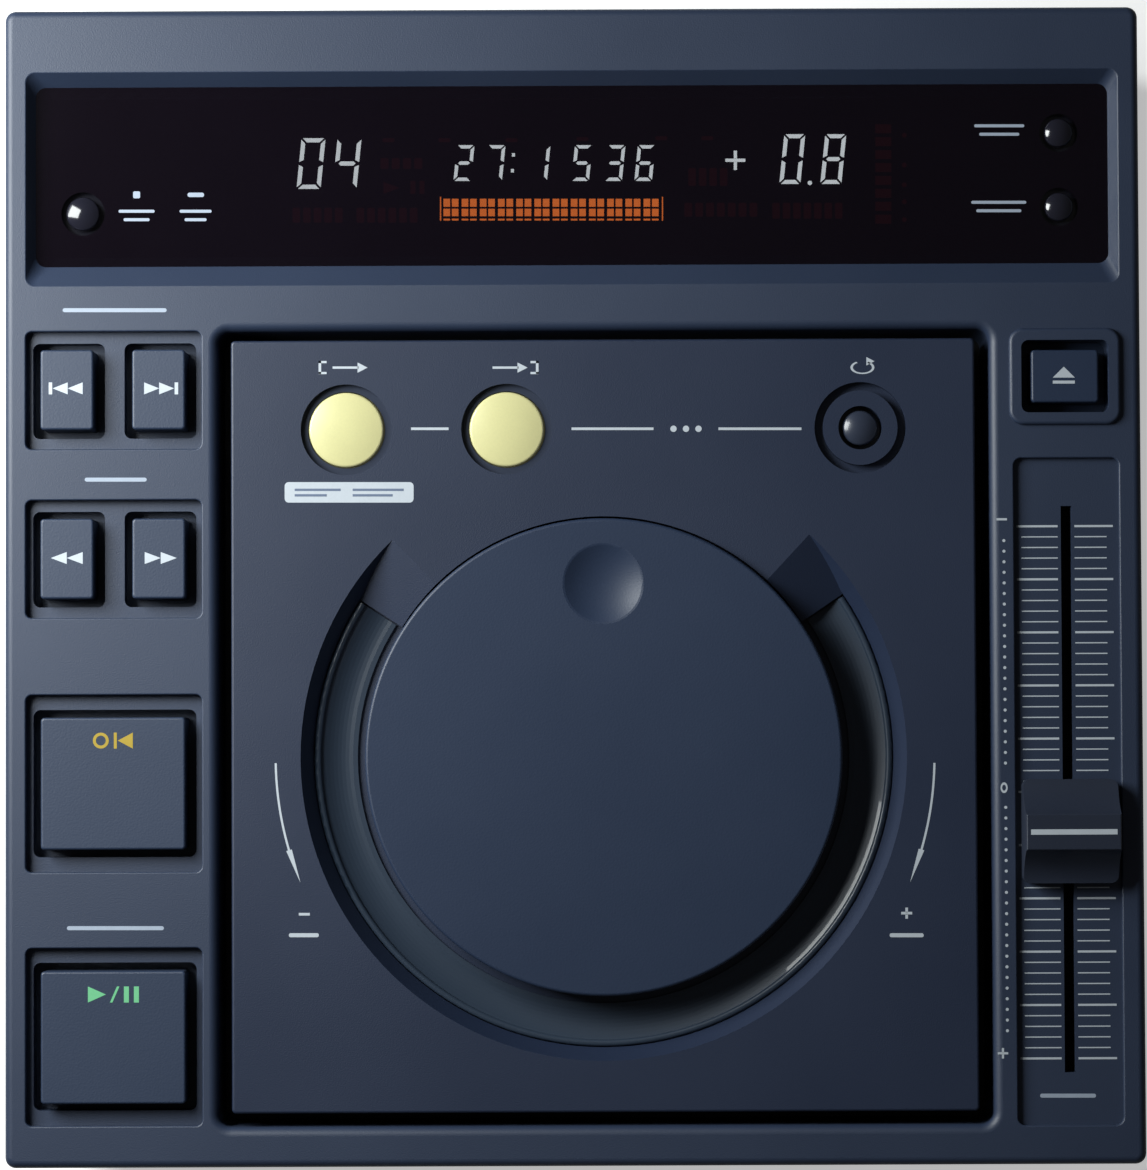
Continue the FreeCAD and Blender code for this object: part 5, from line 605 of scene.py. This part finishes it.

# Unlit fields of the display, which show faintly red: their faint red emission is a painted glow, since
# nothing lights them
GHOST_HEAD = (383, 180, 399, 192)
GHOST_BARS = ((410, 179, 415, 192), (419, 179, 424, 192))
GHOST_WORDS = ((380, 156, 425, 167, 4), (292, 206, 345, 221, 5), (356, 206, 420, 221, 6),
               (688, 166, 730, 184, 4), (684, 201, 760, 215, 7), (772, 201, 845, 217, 7))
LETTER_SHARE = 0.72
GHOST_CORNER = 1.5
LADDER = (875, 122, 891, 131)
LADDER_STEP = 13
LADDER_RUNGS = 8
LADDER_DOT_X = 904
LADDER_DOTS = (133, 163, 183, 200, 218)
LADDER_DOT_RADIUS = 2.4
CAPTIONS = ((388, 138), (444, 138), (511, 138), (582, 137), (661, 136), (707, 136))
CAPTION_HALF = (6, 2)
ghosts = [arrow_right(*GHOST_HEAD, TUBE_Z)] + quads(GHOST_BARS, TUBE_Z)
for x0, y0, x1, y1, letters in GHOST_WORDS:
    step = (x1 - x0) / letters
    for letter in range(letters):
        left = x0 + letter * step
        right = x0 + (letter + LETTER_SHARE) * step
        ghosts.append(pill(left, y0, right, y1, GHOST_CORNER, TUBE_Z, 3))
for rung in range(LADDER_RUNGS):
    drop = rung * LADDER_STEP
    ghosts.append(quad(LADDER[0], LADDER[1] + drop, LADDER[2], LADDER[3] + drop, TUBE_Z))
for y in LADDER_DOTS:
    ghosts.append(disc(LADDER_DOT_X, y, LADDER_DOT_RADIUS, TUBE_Z))
for x, y in CAPTIONS:
    ghosts.append(pill(x - CAPTION_HALF[0], y - CAPTION_HALF[1], x + CAPTION_HALF[0], y + CAPTION_HALF[1],
                       GHOST_CORNER, TUBE_Z, 3))
prisms("display_unlit_painted_glow", ghosts, TUBE_Z, LAMP_HEIGHT, unlit_field_painted_glow, "case")

# Backdrop and floor: the camera sees them bright, and they light the part faintly
SKY_FILL = 0.04
SKY_SEEN = 0.96
FLOOR_GLOW = 0.45
FLOOR_HALF = 3
world = bpy.data.worlds.new("studio")
bpy.context.scene.world = world
world.use_nodes = True
wtree = world.node_tree
background = wtree.nodes["Background"]
light_path = wtree.nodes.new("ShaderNodeLightPath")
bright = wtree.nodes.new("ShaderNodeMath")
bright.operation = "MULTIPLY_ADD"
wtree.links.new(light_path.outputs["Is Camera Ray"], bright.inputs[0])
bright.inputs[1].default_value = SKY_SEEN
bright.inputs[2].default_value = SKY_FILL
wtree.links.new(bright.outputs["Value"], background.inputs["Strength"])
background.inputs["Color"].default_value = (1.0, 1.0, 1.0, 1.0)

floor_mat = new_material("pale_floor")
ftree, fnodes, fshader = links(floor_mat)
fnoise = fnodes.new("ShaderNodeTexNoise")
fnoise.inputs["Scale"].default_value = 3.0
framp = fnodes.new("ShaderNodeValToRGB")
framp.color_ramp.elements[0].color = (0.86, 0.86, 0.86, 1.0)
framp.color_ramp.elements[1].color = (0.90, 0.90, 0.90, 1.0)
ftree.links.new(fnoise.outputs["Fac"], framp.inputs["Fac"])
ftree.links.new(framp.outputs["Color"], fshader.inputs["Base Color"])
fshader.inputs["Roughness"].default_value = 0.8
fpath = fnodes.new("ShaderNodeLightPath")
fmix = fnodes.new("ShaderNodeMath")
fmix.operation = "MULTIPLY"
ftree.links.new(fpath.outputs["Is Camera Ray"], fmix.inputs[0])
fmix.inputs[1].default_value = FLOOR_GLOW
ftree.links.new(fmix.outputs["Value"], fshader.inputs["Emission Strength"])
fshader.inputs["Emission Color"].default_value = (1.0, 1.0, 1.0, 1.0)
floor_mesh = bpy.data.meshes.new("floor")
floor_corners = [(-FLOOR_HALF, -FLOOR_HALF, 0), (FLOOR_HALF, -FLOOR_HALF, 0),
                 (FLOOR_HALF, FLOOR_HALF, 0), (-FLOOR_HALF, FLOOR_HALF, 0)]
floor_mesh.from_pydata(floor_corners, [], [(0, 1, 2, 3)])
floor_mesh.materials.append(floor_mat)
floor = bpy.data.objects.new("floor", floor_mesh)
bpy.context.scene.collection.objects.link(floor)

# One soft light from the left and a little behind
LIGHT_PLACE = Vector((-0.27, 0.12, 0.300))
LIGHT_AIM = Vector((0.0, 0.0, DECK_Z * MM))
light_data = bpy.data.lights.new("key_light", "AREA")
light_data.shape = "RECTANGLE"
light_data.size = 0.20
light_data.size_y = 0.24
light_data.energy = 2.45
light_data.color = (0.96, 1.0, 0.99)
light = bpy.data.objects.new("key_light", light_data)
light.location = LIGHT_PLACE
light.rotation_euler = (LIGHT_AIM - LIGHT_PLACE).to_track_quat("-Z", "Y").to_euler()
bpy.context.scene.collection.objects.link(light)

# The camera looks down at the middle of the deck
camera_data = bpy.data.cameras.new("camera")
camera_data.sensor_fit = "VERTICAL"
camera_data.sensor_height = SENSOR
camera_data.lens = CAMERA_DISTANCE * PX_PER_MM / IMAGE_HEIGHT * SENSOR
camera_data.clip_start = 0.05
camera_data.clip_end = 20.0
camera = bpy.data.objects.new("camera", camera_data)
camera.location = eye * MM
look = (Vector((0.0, 0.0, DECK_Z)) - eye).normalized()
right = Vector((math.cos(ROLL), -math.sin(ROLL), 0.0))
up = right.cross(look).normalized()
right = look.cross(up).normalized()
rotation = camera.rotation_euler.to_matrix()
for axis, vector in enumerate((right, up, -look)):
    for row in range(3):
        rotation[row][axis] = vector[row]
camera.rotation_euler = rotation.to_euler()
bpy.context.scene.collection.objects.link(camera)
bpy.context.scene.camera = camera
bpy.context.scene.view_settings.view_transform = "Standard"
